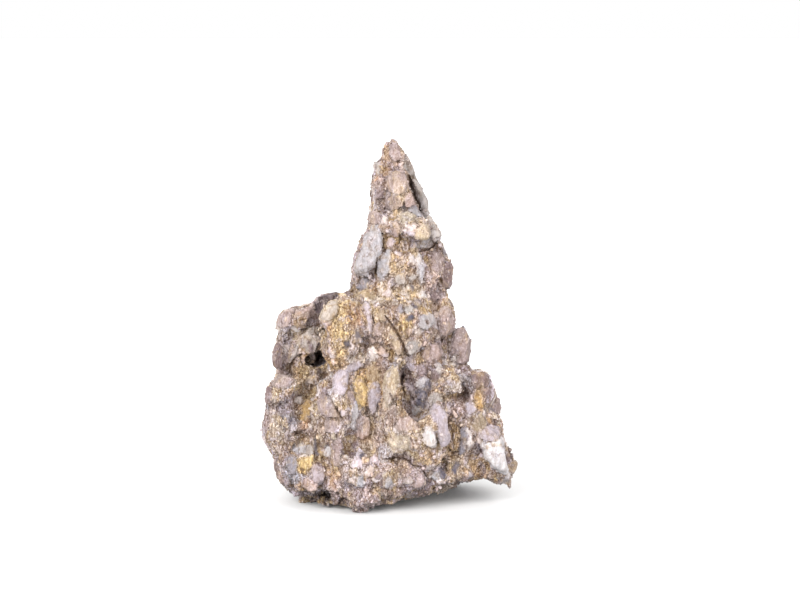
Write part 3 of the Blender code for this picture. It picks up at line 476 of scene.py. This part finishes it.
def add_attribute(mesh, name, values):
    """A number or a colour for each vertex."""
    if values.ndim == 1:
        made = mesh.attributes.new(name, "FLOAT", "POINT")
        made.data.foreach_set("value", values.astype(np.float32))
    else:
        colours = np.column_stack((values, np.ones(len(values))))
        made = mesh.attributes.new(name, "FLOAT_COLOR", "POINT")
        made.data.foreach_set("color", colours.astype(np.float32).ravel())


def tree_of(mesh):
    """A tree in millimetres for finding where lines meet the mesh."""
    mesh.calc_loop_triangles()
    points = [Vector(p) for p in points_of(mesh)]
    return BVHTree.FromPolygons(points, [t.vertices[:] for t in mesh.loop_triangles])


def make_skin():
    """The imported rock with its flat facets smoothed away, as a fine even mesh."""
    skin = new_object("skin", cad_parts["rock"].data.copy())
    mod = skin.modifiers.new("Fuse", "REMESH")
    mod.mode = "VOXEL"
    mod.voxel_size = SKIN_VOXEL * MM
    smooth = skin.modifiers.new("Smooth", "SMOOTH")
    smooth.factor = 0.5
    smooth.iterations = 9
    bake_down(skin)
    return skin


def shown_share(skin):
    """How much of each point's surroundings is seen from the viewpoint, from 0 to 1."""
    tree = tree_of(skin.data)
    ways = points_of(skin.data) - EYE
    reach = np.linalg.norm(ways, axis=1)
    eye = Vector(EYE)
    hits = [tree.ray_cast(eye, way)[3] for way in (ways / reach[:, None]).tolist()]
    first = np.array([reach.max() if hit is None else hit for hit in hits])
    return blurred((first > reach - 1.5).astype(float), pairs_of(skin.data), 4)


def raise_forms(skin, shown):
    """Moves the seen face in and out along the line of sight to the rounded forms read from it."""
    points = points_of(skin.data)
    seen = seen_places(points)
    shift = np.zeros(len(points))
    for middle, half_width, half_height, turn, amount in FORMS:
        away = seen - middle
        cos, sin = math.cos(math.radians(turn)), math.sin(math.radians(turn))
        across = (away[:, 0] * cos + away[:, 1] * sin) / half_width
        along = (away[:, 1] * cos - away[:, 0] * sin) / half_height
        shift -= 0.8 * amount * np.clip(1.1 * (1.0 - across ** 2 - along ** 2), 0.0, 1.0)
    points += FORWARD * (shift * shown)[:, None]
    depth = (points - EYE) @ FORWARD
    for middle, half_width, half_height, most in SHALLOWS:
        far = np.linalg.norm((seen - middle) / (half_width, half_height), axis=1)
        rim = np.median(depth[(far > 1.0) & (far < 1.3) & (shown > 0.8)])
        inner = (far < 1.0) & (depth > rim + most) & (shown > 0.1)
        points[inner] -= FORWARD * (depth[inner] - rim - most)[:, None]
    points[:, 2] = np.maximum(points[:, 2], 0.0)
    set_points(skin.data, points)


def varied(tint, rng):
    """A tint's linear colour, a little lighter or darker and warmer or cooler."""
    colour = linear(TINTS[tint]) * rng.uniform(0.92, 1.08)
    warmth = rng.uniform(-0.03, 0.03)
    return np.clip(colour * np.array((1.0 + warmth, 1.0, 1.0 - warmth)), 0.0, 1.0)


def ground_colours(points, tree):
    """The stained colour of the ground at each point, with patches of painted shade in hollows and along the
    bottom, and its strength.
    """
    colours = np.zeros((len(points), 3))
    total = np.zeros(len(points))
    for tint, (right, up), half_width, half_height, strength in GROUND:
        place = tree.ray_cast(Vector(EYE), Vector(aim_at(right, up)))[0]
        if place is None:
            continue
        away = (points - np.array(place)) / (half_width, (half_width + half_height) / 2, half_height)
        weight = strength * np.clip(1.7 - np.linalg.norm(away, axis=1) * 1.1, 0.0, 1.0)
        share = (weight / np.maximum(weight + total * (1 - weight), 1e-6))[:, None]
        colours = colours * (1 - share) + linear(TINTS[tint]) * share
        total = np.maximum(total, weight)
    return colours, total


def layers_of(points):
    """The direction in which fragments are drawn out: upright, but leaning over at the left."""
    lean = np.clip((-points[:, 0] - 20.0) / 60.0, 0.0, 1.0) * 0.6 * np.clip(1.5 - points[:, 2] / 80.0, 0.0, 1.0)
    return np.column_stack((lean, np.zeros(len(points)), np.ones(len(points)))) / np.hypot(lean, 1.0)[:, None]


class Fragments:
    """Convex angular fragments of one size, scattered over the skin."""

    def __init__(self, points, facings, half_width, count, lean, stand, rng):
        chosen = [rng.randrange(len(points)) for _ in range(count)]
        self.centres = points[chosen]
        self.grain = layers_of(self.centres)
        self.tree = KDTree(count)
        for i, centre in enumerate(self.centres.tolist()):
            self.tree.insert(centre, i)
        self.tree.balance()
        draws = np.random.default_rng(rng.randrange(1 << 30))
        self.sides = unit(draws.normal(size=(count, 9, 3)))
        self.reach = half_width * draws.uniform(0.55, 1.15, (count, 9)) * draws.uniform(0.6, 1.25, (count, 1))
        self.faces = unit(facings[chosen] + draws.normal(size=(count, 3)) * lean)
        self.heights = stand * draws.uniform(-0.9, 1.0, count)
        self.stand = stand
        names = rng.choices(list(FILLING), list(FILLING.values()), k=count)
        self.tints = np.array([varied(name, rng) for name in names])
        self.clean = np.isin(names, SMOOTH)

    def nearest(self, places):
        return np.array([self.tree.find(p)[1] for p in places.tolist()])

    def depths(self, places, owner):
        """How deep each place is inside its fragment, as a share, or less than nothing outside."""
        away = places - self.centres[owner]
        grain = self.grain[owner]
        away = away - grain * ((away * grain).sum(axis=1) * 0.42)[:, None]
        far = np.einsum("nkd,nd->nk", self.sides[owner], away) / self.reach[owner]
        return 1.0 - far.max(axis=1)

    def lifts(self, points, facings, owner):
        """How far each point moves along its facing to lie on its fragment's face."""
        face = self.faces[owner]
        slope = np.maximum((facings * face).sum(axis=1), 0.35)
        gap = ((self.centres[owner] - points) * face).sum(axis=1) + self.heights[owner]
        return np.clip(gap / slope, -1.4 * self.stand, 1.2 * self.stand)


class Clast:
    """A flat-faced clast of the seen face, with an outline as (right, up)."""

    def __init__(self, tint, proud, outline):
        self.tint = tint
        self.proud = proud
        outline = np.array(outline, float)
        self.outline = outline + (outline - outline.mean(axis=0)) * GROWTH
        self.aims = np.array([aim_at(*corner) for corner in outline])

    def settle(self, tree):
        """Fits the plane of the clast's face to the skin behind its outline; False if there is none."""
        middle = np.mean(self.aims, axis=0)
        hits = []
        for share in (0.9, 0.5, 0.0):
            for aim in self.aims:
                place = tree.ray_cast(Vector(EYE), Vector(middle + (aim - middle) * share))[0]
                if place is not None:
                    hits.append(np.array(place))
        if len(hits) < len(self.aims):
            return False
        hits = np.array(hits)
        depth = (hits - EYE) @ middle
        kept = hits[np.abs(depth - np.median(depth)) < 8.0]
        self.middle = kept.mean(axis=0)
        facing = np.linalg.svd(kept - self.middle)[2][2]
        if facing @ middle > 0:
            facing = -facing
        self.facing = unit(facing - unit(middle) * 0.6)
        return True

    def take(self, points, seen):
        """The points that the clast covers, and how far each is from its outline."""
        low, high = self.outline.min(axis=0), self.outline.max(axis=0)
        index = np.nonzero(((seen > low) & (seen < high)).all(axis=1))[0]
        height = (points[index] - self.middle) @ self.facing
        index = index[np.abs(height) < 8.0]
        index = index[inside(seen[index], self.outline)]
        return index, rim_distance(seen[index], self.outline)


def inside(spots, outline):
    """Which spots lie within a closed outline, both flat."""
    result = np.zeros(len(spots), bool)
    for (x0, y0), (x1, y1) in zip(outline, np.roll(outline, -1, axis=0)):
        crosses = (y0 > spots[:, 1]) != (y1 > spots[:, 1])
        slope = (x1 - x0) / (y1 - y0 if y1 != y0 else 1e-9)
        result ^= crosses & (spots[:, 0] < x0 + slope * (spots[:, 1] - y0))
    return result


def rim_distance(spots, outline, closed=True):
    """How far each spot is from a line through the corners."""
    far = np.full(len(spots), 1e9)
    ends = np.roll(outline, -1, axis=0) if closed else outline[1:]
    for start, end in zip(outline, ends):
        way = end - start
        share = np.clip(((spots - start) @ way) / (way @ way), 0.0, 1.0)
        far = np.minimum(far, np.linalg.norm(spots - start - share[:, None] * way, axis=1))
    return far


def set_fragments(points, facings, shown, tree, rng):
    """Gives each point its fragment: its number, how far it is lifted, its tint and how pure that is."""
    places = points + wavering(points, 5.0, 1.5) + wavering(points, 1.7, 1.1)
    coat = np.clip(wavering(points, 4.0, 1.0)[:, 0] * 2.5 - 0.3, 0.0, 0.5)
    owner = np.full(len(points), -1)
    lift = np.zeros(len(points))
    tint = np.zeros((len(points), 3))
    purity = np.zeros(len(points))
    offset = 0
    regions = Fragments(points, facings, REGIONS[0], REGIONS[1], 0.0, 0.0, rng)
    regional = regions.tints[regions.nearest(points + wavering(points, 9.0, 6.0))]
    for half_width, count, lean, stand, own in FRAGMENTS:
        layer = Fragments(points, facings, half_width, count, lean, stand, rng)
        near = layer.nearest(places)
        free = owner < 0
        if half_width > FRAGMENTS[-1][0]:
            depth = layer.depths(places, near)
            free &= depth > 0.0
            plain = np.clip(depth * 4.0, 0.0, 0.85) * layer.clean[near] * (1.0 - coat)
            if half_width > REGIONS[0] / 2:
                plain *= 1.0 - shown
            purity[free] = plain[free]
        owner[free] = near[free] + offset
        lift[free] = layer.lifts(points, facings, near)[free]
        tint[free] = layer.tints[near[free]] * own + regional[free] * (1.0 - own)
        offset += count
    seen = seen_places(points + wavering(points, 6.0, 1.2) + wavering(points, 1.4, 1.2))
    open_front = (facings @ FORWARD < 0.35) & (shown > 0.5)
    for tone_name, proud, outline in CLASTS:
        clast = Clast(tone_name, proud, outline)
        if not clast.settle(tree):
            continue
        index, rim = clast.take(points, seen)
        kept = open_front[index]
        index, rim = index[kept], rim[kept]
        if not len(index):
            continue
        border = min(2.0, 0.5 * rim.max())
        slope = np.maximum(facings[index] @ clast.facing, 0.35)
        gap = ((clast.middle - points[index]) @ clast.facing + clast.proud * 0.45) / slope
        firm = np.clip(rim / 1.6, 0.2, 1.0)
        lift[index] = np.clip(gap, -2.2, 2.2) * firm + lift[index] * (1.0 - firm)
        cover = (np.clip(rim * 4.0 / border, 0.7, 1.0) * (1.0 - coat[index] * 0.5))[:, None]
        tint[index] = varied(clast.tint, rng) * 0.63 * cover + tint[index] * (1.0 - cover)
        owner[index] = offset
        most = 0.9 if clast.tint in SMOOTH else 0.72
        purity[index] = np.clip(rim * 1.2 / border, 0.2, most) * (1.0 - coat[index] * 0.8)
        offset += 1
    return owner, lift, tint, purity


def cut_cracks(points, shown):
    """Opens the cracks of the seen face; returns the points and how deep in a crack each one is, which darkens it
    as painted shade and dirt in the crack.
    """
    seen = seen_places(points + wavering(points, 3.0, 0.8))
    darkness = np.zeros(len(points))
    for half_width, depth, run in CRACKS:
        run = np.array(run, float)
        far = rim_distance(seen, run, closed=False)
        ends = np.minimum(np.linalg.norm(seen - run[0], axis=1), np.linalg.norm(seen - run[-1], axis=1))
        width = half_width * np.clip(ends / 8.0 + 0.5, 0.5, 1.2)
        amount = np.clip(1.2 - far / width, 0.0, 1.0) * shown
        points += FORWARD * (amount * depth)[:, None]
        # How dark the crack is painted: painted shade and dirt inside it
        darkness = np.maximum(darkness, np.clip(amount * min(1.8, depth * 0.6), 0.0, 1.0))
    return points, darkness


def dress_skin(skin, shown, tree, rng):
    """Breaks the skin into fragments and gives every point its tint, its dirt, and painted shade in hollows, cracks
    and on the underside.
    """
    points = points_of(skin.data)
    pairs = pairs_of(skin.data)
    facings = unit(blurred(facings_of(skin.data), pairs, 4))
    owner, lift, tint, purity = set_fragments(points, facings, shown, tree, rng)
    border = np.zeros(len(points))
    broken = pairs[owner[pairs[:, 0]] != owner[pairs[:, 1]]]
    border[broken.ravel()] = 1.0
    border = blurred(border, pairs, 1)
    rib = ridges(points + wavering(points, 9.0, 3.0), 8.0, 4)
    lift += (rib * 0.7 + crumbs(points, 2.4, 3) * 0.6) * (1.0 - purity * 0.9) - 0.3 * border
    mesh = skin.data
    set_points(mesh, points + facings * lift[:, None])
    points, facings = points_of(mesh), facings_of(mesh)
    points, crack = cut_cracks(points, shown)
    points[:, 2] = np.maximum(points[:, 2], 0.0)
    # Hollows are darkened by how far they sink below their surroundings: partly dirt, partly painted shade
    hollow = ((blurred(points, pairs, 10) - points) * facings).sum(axis=1)
    grime_and_shade = np.clip((hollow - 0.3) / 1.4, 0.0, 1.0)
    # Painted shade: faces that look down near the floor are made darker
    underside_shade = np.clip(-facings[:, 2] * 1.6 - 0.1, 0.0, 1.0) * np.clip(1.4 - points[:, 2] / 40.0, 0.0, 1.0)
    tint = tint * (1.0 - 0.65 * underside_shade)[:, None]
    ground, strength = ground_colours(points, tree)
    share = (strength * 0.9 * (1.0 - purity) * (1.0 - underside_shade))[:, None]
    tint = tint * (1 - share) + ground * share
    tint = blurred(tint, pairs, 1)
    set_points(mesh, points)
    add_attribute(mesh, "tint", tint)
    add_attribute(mesh, "grime_and_shade", np.maximum(grime_and_shade, crack))
    add_attribute(mesh, "edge", np.clip(border * 0.8, 0.0, 1.0) * (1.0 - purity * 0.6))
    add_attribute(mesh, "plain", purity)
    add_attribute(mesh, "rib", rib * 0.5 + 0.5)
    return points, tint


def make_slab(low, high):
    """A box from one height to another, wide enough to hold the stone."""
    mesh = bmesh.new()
    bmesh.ops.create_cube(mesh, size=1.0)
    middle = Vector((0.0, 0.0, (low + high) / 2))
    bmesh.ops.scale(mesh, verts=mesh.verts[:], vec=Vector((SLAB_WIDTH, SLAB_WIDTH, high - low)) * MM)
    bmesh.ops.translate(mesh, verts=mesh.verts[:], vec=middle * MM)
    data = bpy.data.meshes.new("slab")
    mesh.to_mesh(data)
    mesh.free()
    return new_object("slab", data)


def mend_rim(mesh, source, tree):
    """Gives the points that a cut has made the attributes of the nearest point of the source."""
    heights = [low * MM for _, low in BLOCKS[1:]]
    cut = [v for v in mesh.vertices if any(abs(v.co.z - height) < 1e-5 for height in heights)]
    for name, value in ATTRIBUTES:
        given, taken = mesh.attributes[name].data, source.attributes[name].data
        for vert in cut:
            nearest = tree.find(vert.co)[1]
            setattr(given[vert.index], value, getattr(taken[nearest], value))


def cut_blocks(skin):
    """Cuts the skin into closed blocks, one above the other."""
    pieces = []
    skin_tree = KDTree(len(skin.data.vertices))
    for i, vert in enumerate(skin.data.vertices):
        skin_tree.insert(vert.co, i)
    skin_tree.balance()
    tops = [low for _, low in BLOCKS[1:]] + [SLAB_WIDTH]
    for (name, low), high in zip(BLOCKS, tops):
        block = new_object(name, skin.data.copy())
        slab = make_slab(low, high)
        cut = block.modifiers.new("Cut", "BOOLEAN")
        cut.operation = "INTERSECT"
        cut.solver = "MANIFOLD"
        cut.object = slab
        bake_down(block)
        bpy.data.objects.remove(slab)
        mend_rim(block.data, skin.data, skin_tree)
        pieces.append(block)
    bpy.data.objects.remove(skin)
    return pieces


def grain_shapes(rng, count):
    """A few angular grains of unit size, as points and triangles."""
    shapes = []
    for _ in range(count):
        mesh = bmesh.new()
        corners = 11
        for i in range(corners):
            height = 1.0 - 2.0 * (i + 0.5) / corners
            turn = i * 2.39996 + rng.uniform(-0.4, 0.4)
            flat = math.sqrt(1.0 - height * height)
            reach = rng.uniform(0.8, 1.15)
            mesh.verts.new((flat * math.cos(turn) * reach, flat * math.sin(turn) * reach, height * reach))
        bmesh.ops.convex_hull(mesh, input=mesh.verts[:])
        loose = [v for v in mesh.verts if not v.link_faces]
        bmesh.ops.delete(mesh, geom=loose, context="VERTS")
        bmesh.ops.triangulate(mesh, faces=mesh.faces[:])
        mesh.verts.index_update()
        points = np.array([v.co[:] for v in mesh.verts])
        faces = np.array([[v.index for v in f.verts] for f in mesh.faces])
        shapes.append((points, faces))
        mesh.free()
    return shapes


def make_grains(points, facings, tint, rng):
    """Angular grit stuck all over the stone, of the colours around it."""
    shapes = grain_shapes(rng, 24)
    all_points, all_faces, all_tints = [], [], []
    start = 0
    for _ in range(GRAINS):
        spot = rng.randrange(len(points))
        size = 0.6 + 1.5 * rng.random() ** 2.5
        shape, faces = shapes[rng.randrange(len(shapes))]
        turn = unit(np.array((rng.gauss(0, 1), rng.gauss(0, 1), rng.gauss(0, 1))))
        spin = rng.uniform(0, math.tau)
        local = shape * (rng.uniform(0.6, 1.0), rng.uniform(0.7, 1.0), rng.uniform(1.0, 1.7)) * size
        local = (local * math.cos(spin) + np.cross(turn, local) * math.sin(spin)
                 + turn * (local @ turn)[:, None] * (1 - math.cos(spin)))
        all_points.append(local + points[spot] - facings[spot] * size * rng.uniform(0.2, 0.7))
        all_faces.append(faces + start)
        start += len(shape)
        name = rng.choices(list(FILLING), list(FILLING.values()))[0]
        mixed = varied(name, rng) * 0.2 + tint[spot] * 0.8
        all_tints.append(np.tile(mixed, (len(shape), 1)))
    placed = np.vstack(all_points)
    placed[:, 2] = np.maximum(placed[:, 2], 0.0)
    mesh = bpy.data.meshes.new("grit")
    mesh.from_pydata((placed * MM).tolist(), [], np.vstack(all_faces).tolist())
    add_attribute(mesh, "tint", np.vstack(all_tints))
    return new_object("stone_grit", mesh)


class Nodes:
    """Short ways to add shader nodes to one material."""

    def __init__(self, name):
        self.material = bpy.data.materials.new(name)
        self.material.use_nodes = True
        self.tree = self.material.node_tree
        self.shader = self.tree.nodes["Principled BSDF"]
        self.place = self.tree.nodes.new("ShaderNodeTexCoord").outputs["Object"]
        stretch = self.tree.nodes.new("ShaderNodeMapping")
        stretch.inputs["Scale"].default_value = (1.0, 1.0, 1.0 / DRAWN_OUT)
        self.tree.links.new(self.place, stretch.inputs["Vector"])
        self.drawn = stretch.outputs["Vector"]
        stir = self.tree.nodes.new("ShaderNodeTexNoise")
        stir.inputs["Scale"].default_value = 1.0 / (2.0 * MM)
        self.tree.links.new(self.drawn, stir.inputs["Vector"])
        shift = self.tree.nodes.new("ShaderNodeVectorMath")
        shift.operation = "MULTIPLY_ADD"
        shift.inputs[1].default_value = (2.0 * MM, 2.0 * MM, 2.0 * MM)
        self.tree.links.new(stir.outputs["Color"], shift.inputs[0])
        self.tree.links.new(self.drawn, shift.inputs[2])
        self.ragged = shift.outputs["Vector"]

    def link(self, source, socket):
        if isinstance(source, (int, float, tuple)):
            socket.default_value = source
        else:
            self.tree.links.new(source, socket)

    def attribute(self, name, output="Color"):
        node = self.tree.nodes.new("ShaderNodeAttribute")
        node.attribute_name = name
        return node.outputs[output]

    def noise(self, size, detail=3.0, roughness=0.55, distortion=0.0, drawn_out=False):
        """Soft noise whose lumps are that size in millimetres, longer upwards if drawn out."""
        node = self.tree.nodes.new("ShaderNodeTexNoise")
        self.link(self.drawn if drawn_out else self.place, node.inputs["Vector"])
        node.inputs["Scale"].default_value = 1.0 / (size * MM)
        node.inputs["Detail"].default_value = detail
        node.inputs["Roughness"].default_value = roughness
        node.inputs["Distortion"].default_value = distortion
        return node.outputs["Fac"]

    def ribs(self, size, detail=3.0, drawn_out=True):
        """Branching ridges that far apart in millimetres, from 0 in the creases to 1 on the crests."""
        node = self.tree.nodes.new("ShaderNodeTexNoise")
        node.noise_type = "RIDGED_MULTIFRACTAL"
        self.link(self.drawn if drawn_out else self.place, node.inputs["Vector"])
        node.inputs["Scale"].default_value = 1.0 / (size * MM)
        node.inputs["Detail"].default_value = detail
        node.inputs["Roughness"].default_value = 0.6
        node.inputs["Offset"].default_value = 1.0
        node.inputs["Gain"].default_value = 1.0
        return self.ramp(self.math("MULTIPLY", node.outputs["Fac"], 0.5), [(0.2, 0.0), (0.85, 1.0)])

    def cells(self, size):
        """Random values of ragged cells of that size in millimetres."""
        node = self.tree.nodes.new("ShaderNodeTexVoronoi")
        self.link(self.ragged, node.inputs["Vector"])
        node.inputs["Scale"].default_value = 1.0 / (size * MM)
        return node.outputs["Color"]

    def cracks(self, size, width):
        """Thin lines between the cells of that size in millimetres; the width is a share of it."""
        node = self.tree.nodes.new("ShaderNodeTexVoronoi")
        node.feature = "DISTANCE_TO_EDGE"
        self.link(self.ragged, node.inputs["Vector"])
        node.inputs["Scale"].default_value = 1.0 / (size * MM)
        return self.ramp(node.outputs["Distance"], [(0.0, 1.0), (width, 0.0)])

    def ramp(self, value, stops, step=False):
        node = self.tree.nodes.new("ShaderNodeValToRGB")
        self.link(value, node.inputs["Fac"])
        bar = node.color_ramp
        if step:
            bar.interpolation = "CONSTANT"
        for i, (at, colour) in enumerate(stops):
            if not isinstance(colour, tuple):
                colour = (colour, colour, colour)
            stop = bar.elements[i] if i < 2 else bar.elements.new(at)
            stop.position = at
            stop.color = (*colour, 1.0)
        return node.outputs["Color"]

    def mix(self, share, first, second, kind="MIX"):
        node = self.tree.nodes.new("ShaderNodeMix")
        node.data_type = "RGBA"
        node.blend_type = kind
        self.link(share, node.inputs["Factor"])
        for value, name in ((first, "A"), (second, "B")):
            socket = [s for s in node.inputs if s.name == name and s.type == "RGBA"][0]
            self.link((*value, 1.0) if isinstance(value, tuple) and len(value) == 3 else value, socket)
        return [s for s in node.outputs if s.type == "RGBA"][0]

    def math(self, kind, first, second=0.0):
        node = self.tree.nodes.new("ShaderNodeMath")
        node.operation = kind
        self.link(first, node.inputs[0])
        self.link(second, node.inputs[1])
        return node.outputs["Value"]

    def bump(self, height, distance, strength=1.0):
        node = self.tree.nodes.new("ShaderNodeBump")
        node.inputs["Distance"].default_value = distance * MM
        node.inputs["Strength"].default_value = strength
        self.link(height, node.inputs["Height"])
        self.link(node.outputs["Normal"], self.shader.inputs["Normal"])


def tone(name):
    return tuple(float(c) for c in linear(TINTS[name]))


def speckled(nodes, colour, amount):
    """Fine specks and mottling that all the stone shares, where amount is how much of them shows."""
    plain = colour
    flakes = nodes.ramp(nodes.cells(2.2), [(0.15, 0.8), (0.5, 1.0), (0.85, 1.2)])
    gaps = nodes.mix(nodes.cracks(2.2, 0.12), (1.0, 1.0, 1.0), (0.55, 0.47, 0.41))
    frost = nodes.ramp(nodes.noise(1.3, 4.0, 0.7, drawn_out=True), [(0.53, 0.0), (0.62, 0.6)])
    pits = nodes.ramp(nodes.noise(1.4, 4.0, 0.7, distortion=1.0), [(0.38, (0.4, 0.33, 0.27)), (0.44, 1.0)])
    lines = nodes.ramp(nodes.ribs(3.2, 3.0), [(0.68, 1.0), (0.88, (0.42, 0.34, 0.28))])
    mottle = nodes.ramp(nodes.noise(1.4, 7.0, 0.95), [(0.37, (0.37, 0.3, 0.25)), (0.63, (1.42, 1.55, 1.77))])
    colour = nodes.mix(1.0, colour, flakes, "MULTIPLY")
    colour = nodes.mix(frost, colour, tone("frost"))
    for pattern in (gaps, pits, lines, mottle):
        colour = nodes.mix(1.0, colour, pattern, "MULTIPLY")
    return nodes.mix(amount, plain, colour)


def stone_material():
    """Fragments in their own tints in a sandy matrix with ribs, glaze, fine cracks, specks and dirt, with painted
    shade in creases and hollows and painted highlights on crests.
    """
    nodes = Nodes("breccia")
    bare = nodes.math("SUBTRACT", 1.0, nodes.attribute("plain", "Fac"))
    open_ground = nodes.math("ADD", 0.25, nodes.math("MULTIPLY", bare, 0.75))
    colour = nodes.attribute("tint")
    glaze = nodes.ramp(nodes.noise(13.0, 3.0, 0.55, 0.6, True), [(0.54, 0.0), (0.6, 0.5)])
    colour = nodes.mix(nodes.math("MULTIPLY", glaze, bare), colour, tone("yellow"))
    wash = nodes.ramp(nodes.noise(10.0, 3.0, 0.55, 0.8), [(0.52, 0.0), (0.6, 0.5)])
    colour = nodes.mix(nodes.math("MULTIPLY", wash, bare), colour, tone("lilac"))
    agate = nodes.ramp(nodes.noise(6.0, 3.0, 0.5, 0.6, True), [(0.4, 0.86), (0.6, 1.12)])
    colour = nodes.mix(1.0, colour, agate, "MULTIPLY")
    ribs = nodes.ribs(4.0, 4.0)
    # Painted highlight: the crests of the skin's ribs are made paler cream
    crest_highlight = nodes.ramp(nodes.attribute("rib", "Fac"), [(0.55, 0.0), (0.95, 0.25)])
    colour = nodes.mix(nodes.math("MULTIPLY", crest_highlight, bare), colour, tone("cream"))
    # Painted shade in the creases of the shader's ribs and painted highlight on their crests, which the bump below
    # also shades
    shade = nodes.ramp(ribs, [(0.0, (0.6, 0.53, 0.46)), (0.3, 1.0), (0.6, 1.0), (1.0, (1.2, 1.25, 1.34))])
    colour = nodes.mix(open_ground, colour, nodes.mix(1.0, colour, shade, "MULTIPLY"))
    colour = speckled(nodes, colour, nodes.math("MULTIPLY", open_ground, 0.9))
    some = nodes.ramp(nodes.noise(9.0, 2.0), [(0.45, 0.0), (0.55, 0.6)])
    some = nodes.math("MULTIPLY", some, bare)
    colour = nodes.mix(nodes.math("MULTIPLY", nodes.cracks(7.0, 0.05), some), colour, tone("brown"))
    # Dirt and painted shade: hollows and cracks are darkened towards brown and near black
    dirt_and_shade = nodes.mix(nodes.noise(4.0), tone("brown"), tone("dark"))
    colour = nodes.mix(nodes.math("MULTIPLY", nodes.attribute("grime_and_shade", "Fac"), 0.8), colour, dirt_and_shade)
    nodes.link(colour, nodes.shader.inputs["Base Color"])
    nodes.shader.inputs["Roughness"].default_value = 0.75
    nodes.shader.inputs["Specular IOR Level"].default_value = 0.3
    relief = nodes.math("ADD", nodes.noise(1.0, 5.0, 0.8), nodes.math("MULTIPLY", ribs, 0.4))
    nodes.bump(nodes.math("MULTIPLY", relief, open_ground), 1.6)
    return nodes.material


def grit_material():
    nodes = Nodes("breccia_grit")
    colour = speckled(nodes, nodes.attribute("tint"), 0.5)
    nodes.link(colour, nodes.shader.inputs["Base Color"])
    nodes.shader.inputs["Roughness"].default_value = 0.75
    nodes.bump(nodes.noise(0.8, 3.0), 0.3)
    return nodes.material


def make_floor():
    """A wide pale floor."""
    mesh = bmesh.new()
    corners = [mesh.verts.new(place) for place in ((-60, -20, 0), (60, -20, 0), (60, 160, 0), (-60, 160, 0))]
    mesh.faces.new(corners)
    data = bpy.data.meshes.new("floor")
    mesh.to_mesh(data)
    mesh.free()
    floor = new_object("floor", data)
    material = bpy.data.materials.new("pale_floor")
    material.use_nodes = True
    shader = material.node_tree.nodes["Principled BSDF"]
    shader.inputs["Base Color"].default_value = (*FLOOR_SHADE, 1.0)
    shader.inputs["Roughness"].default_value = 0.8
    shader.inputs["Specular IOR Level"].default_value = 0.0
    data.materials.append(material)


def make_sun(name, toward, strength, spread):
    light = bpy.data.lights.new(name, "SUN")
    light.energy = strength
    light.angle = math.radians(spread)
    lamp = bpy.data.objects.new(name, light)
    lamp.rotation_euler = Vector(toward).to_track_quat("-Z", "Y").to_euler()
    bpy.context.scene.collection.objects.link(lamp)


FLOOR_SHADE = (0.76, 0.76, 0.76)


def make_studio():
    """Wide soft light from the upper left, a weaker one from the right, and the camera."""
    make_sun("key", (0.5, 0.9, -0.55), 3.8, 30.0)
    make_sun("fill", (-0.7, 0.75, -0.5), 2.0, 45.0)
    make_sun("back", (0.2, -0.9, -0.5), 1.3, 60.0)
    world = bpy.data.worlds.new("studio")
    world.use_nodes = True
    background = world.node_tree.nodes["Background"]
    background.inputs["Color"].default_value = (1.0, 1.0, 1.0, 1.0)
    background.inputs["Strength"].default_value = 1.0
    bpy.context.scene.world = world
    bpy.context.scene.view_settings.view_transform = "Standard"
    lens = bpy.data.cameras.new("camera")
    lens.sensor_width = SENSOR
    lens.lens = SENSOR * VIEW_DISTANCE / VIEW_WIDTH
    lens.clip_start = 0.05
    lens.clip_end = 500.0
    camera = bpy.data.objects.new("camera", lens)
    camera.location = Vector(EYE) * MM
    camera.rotation_euler = Vector(FORWARD).to_track_quat("-Z", "Y").to_euler()
    bpy.context.scene.collection.objects.link(camera)
    bpy.context.scene.camera = camera


def make_rock():
    """The stone, cut into closed blocks, and the grit on it."""
    rng = random.Random(SEED)
    skin = make_skin()
    shown = shown_share(skin)
    raise_forms(skin, shown)
    tree = tree_of(skin.data)
    points, tint = dress_skin(skin, shown, tree, rng)
    grit = make_grains(points, facings_of(skin.data), tint, rng)
    grit.data.materials.append(grit_material())
    material = stone_material()
    blocks = cut_blocks(skin)
    for block in blocks:
        block.data.materials.clear()
        block.data.materials.append(material)
        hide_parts("rock")
    for piece in blocks + [grit]:
        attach(piece, "root")
        piece.data.calc_loop_triangles()
        print(piece.name, len(piece.data.loop_triangles))


make_studio()
make_floor()
make_rock()
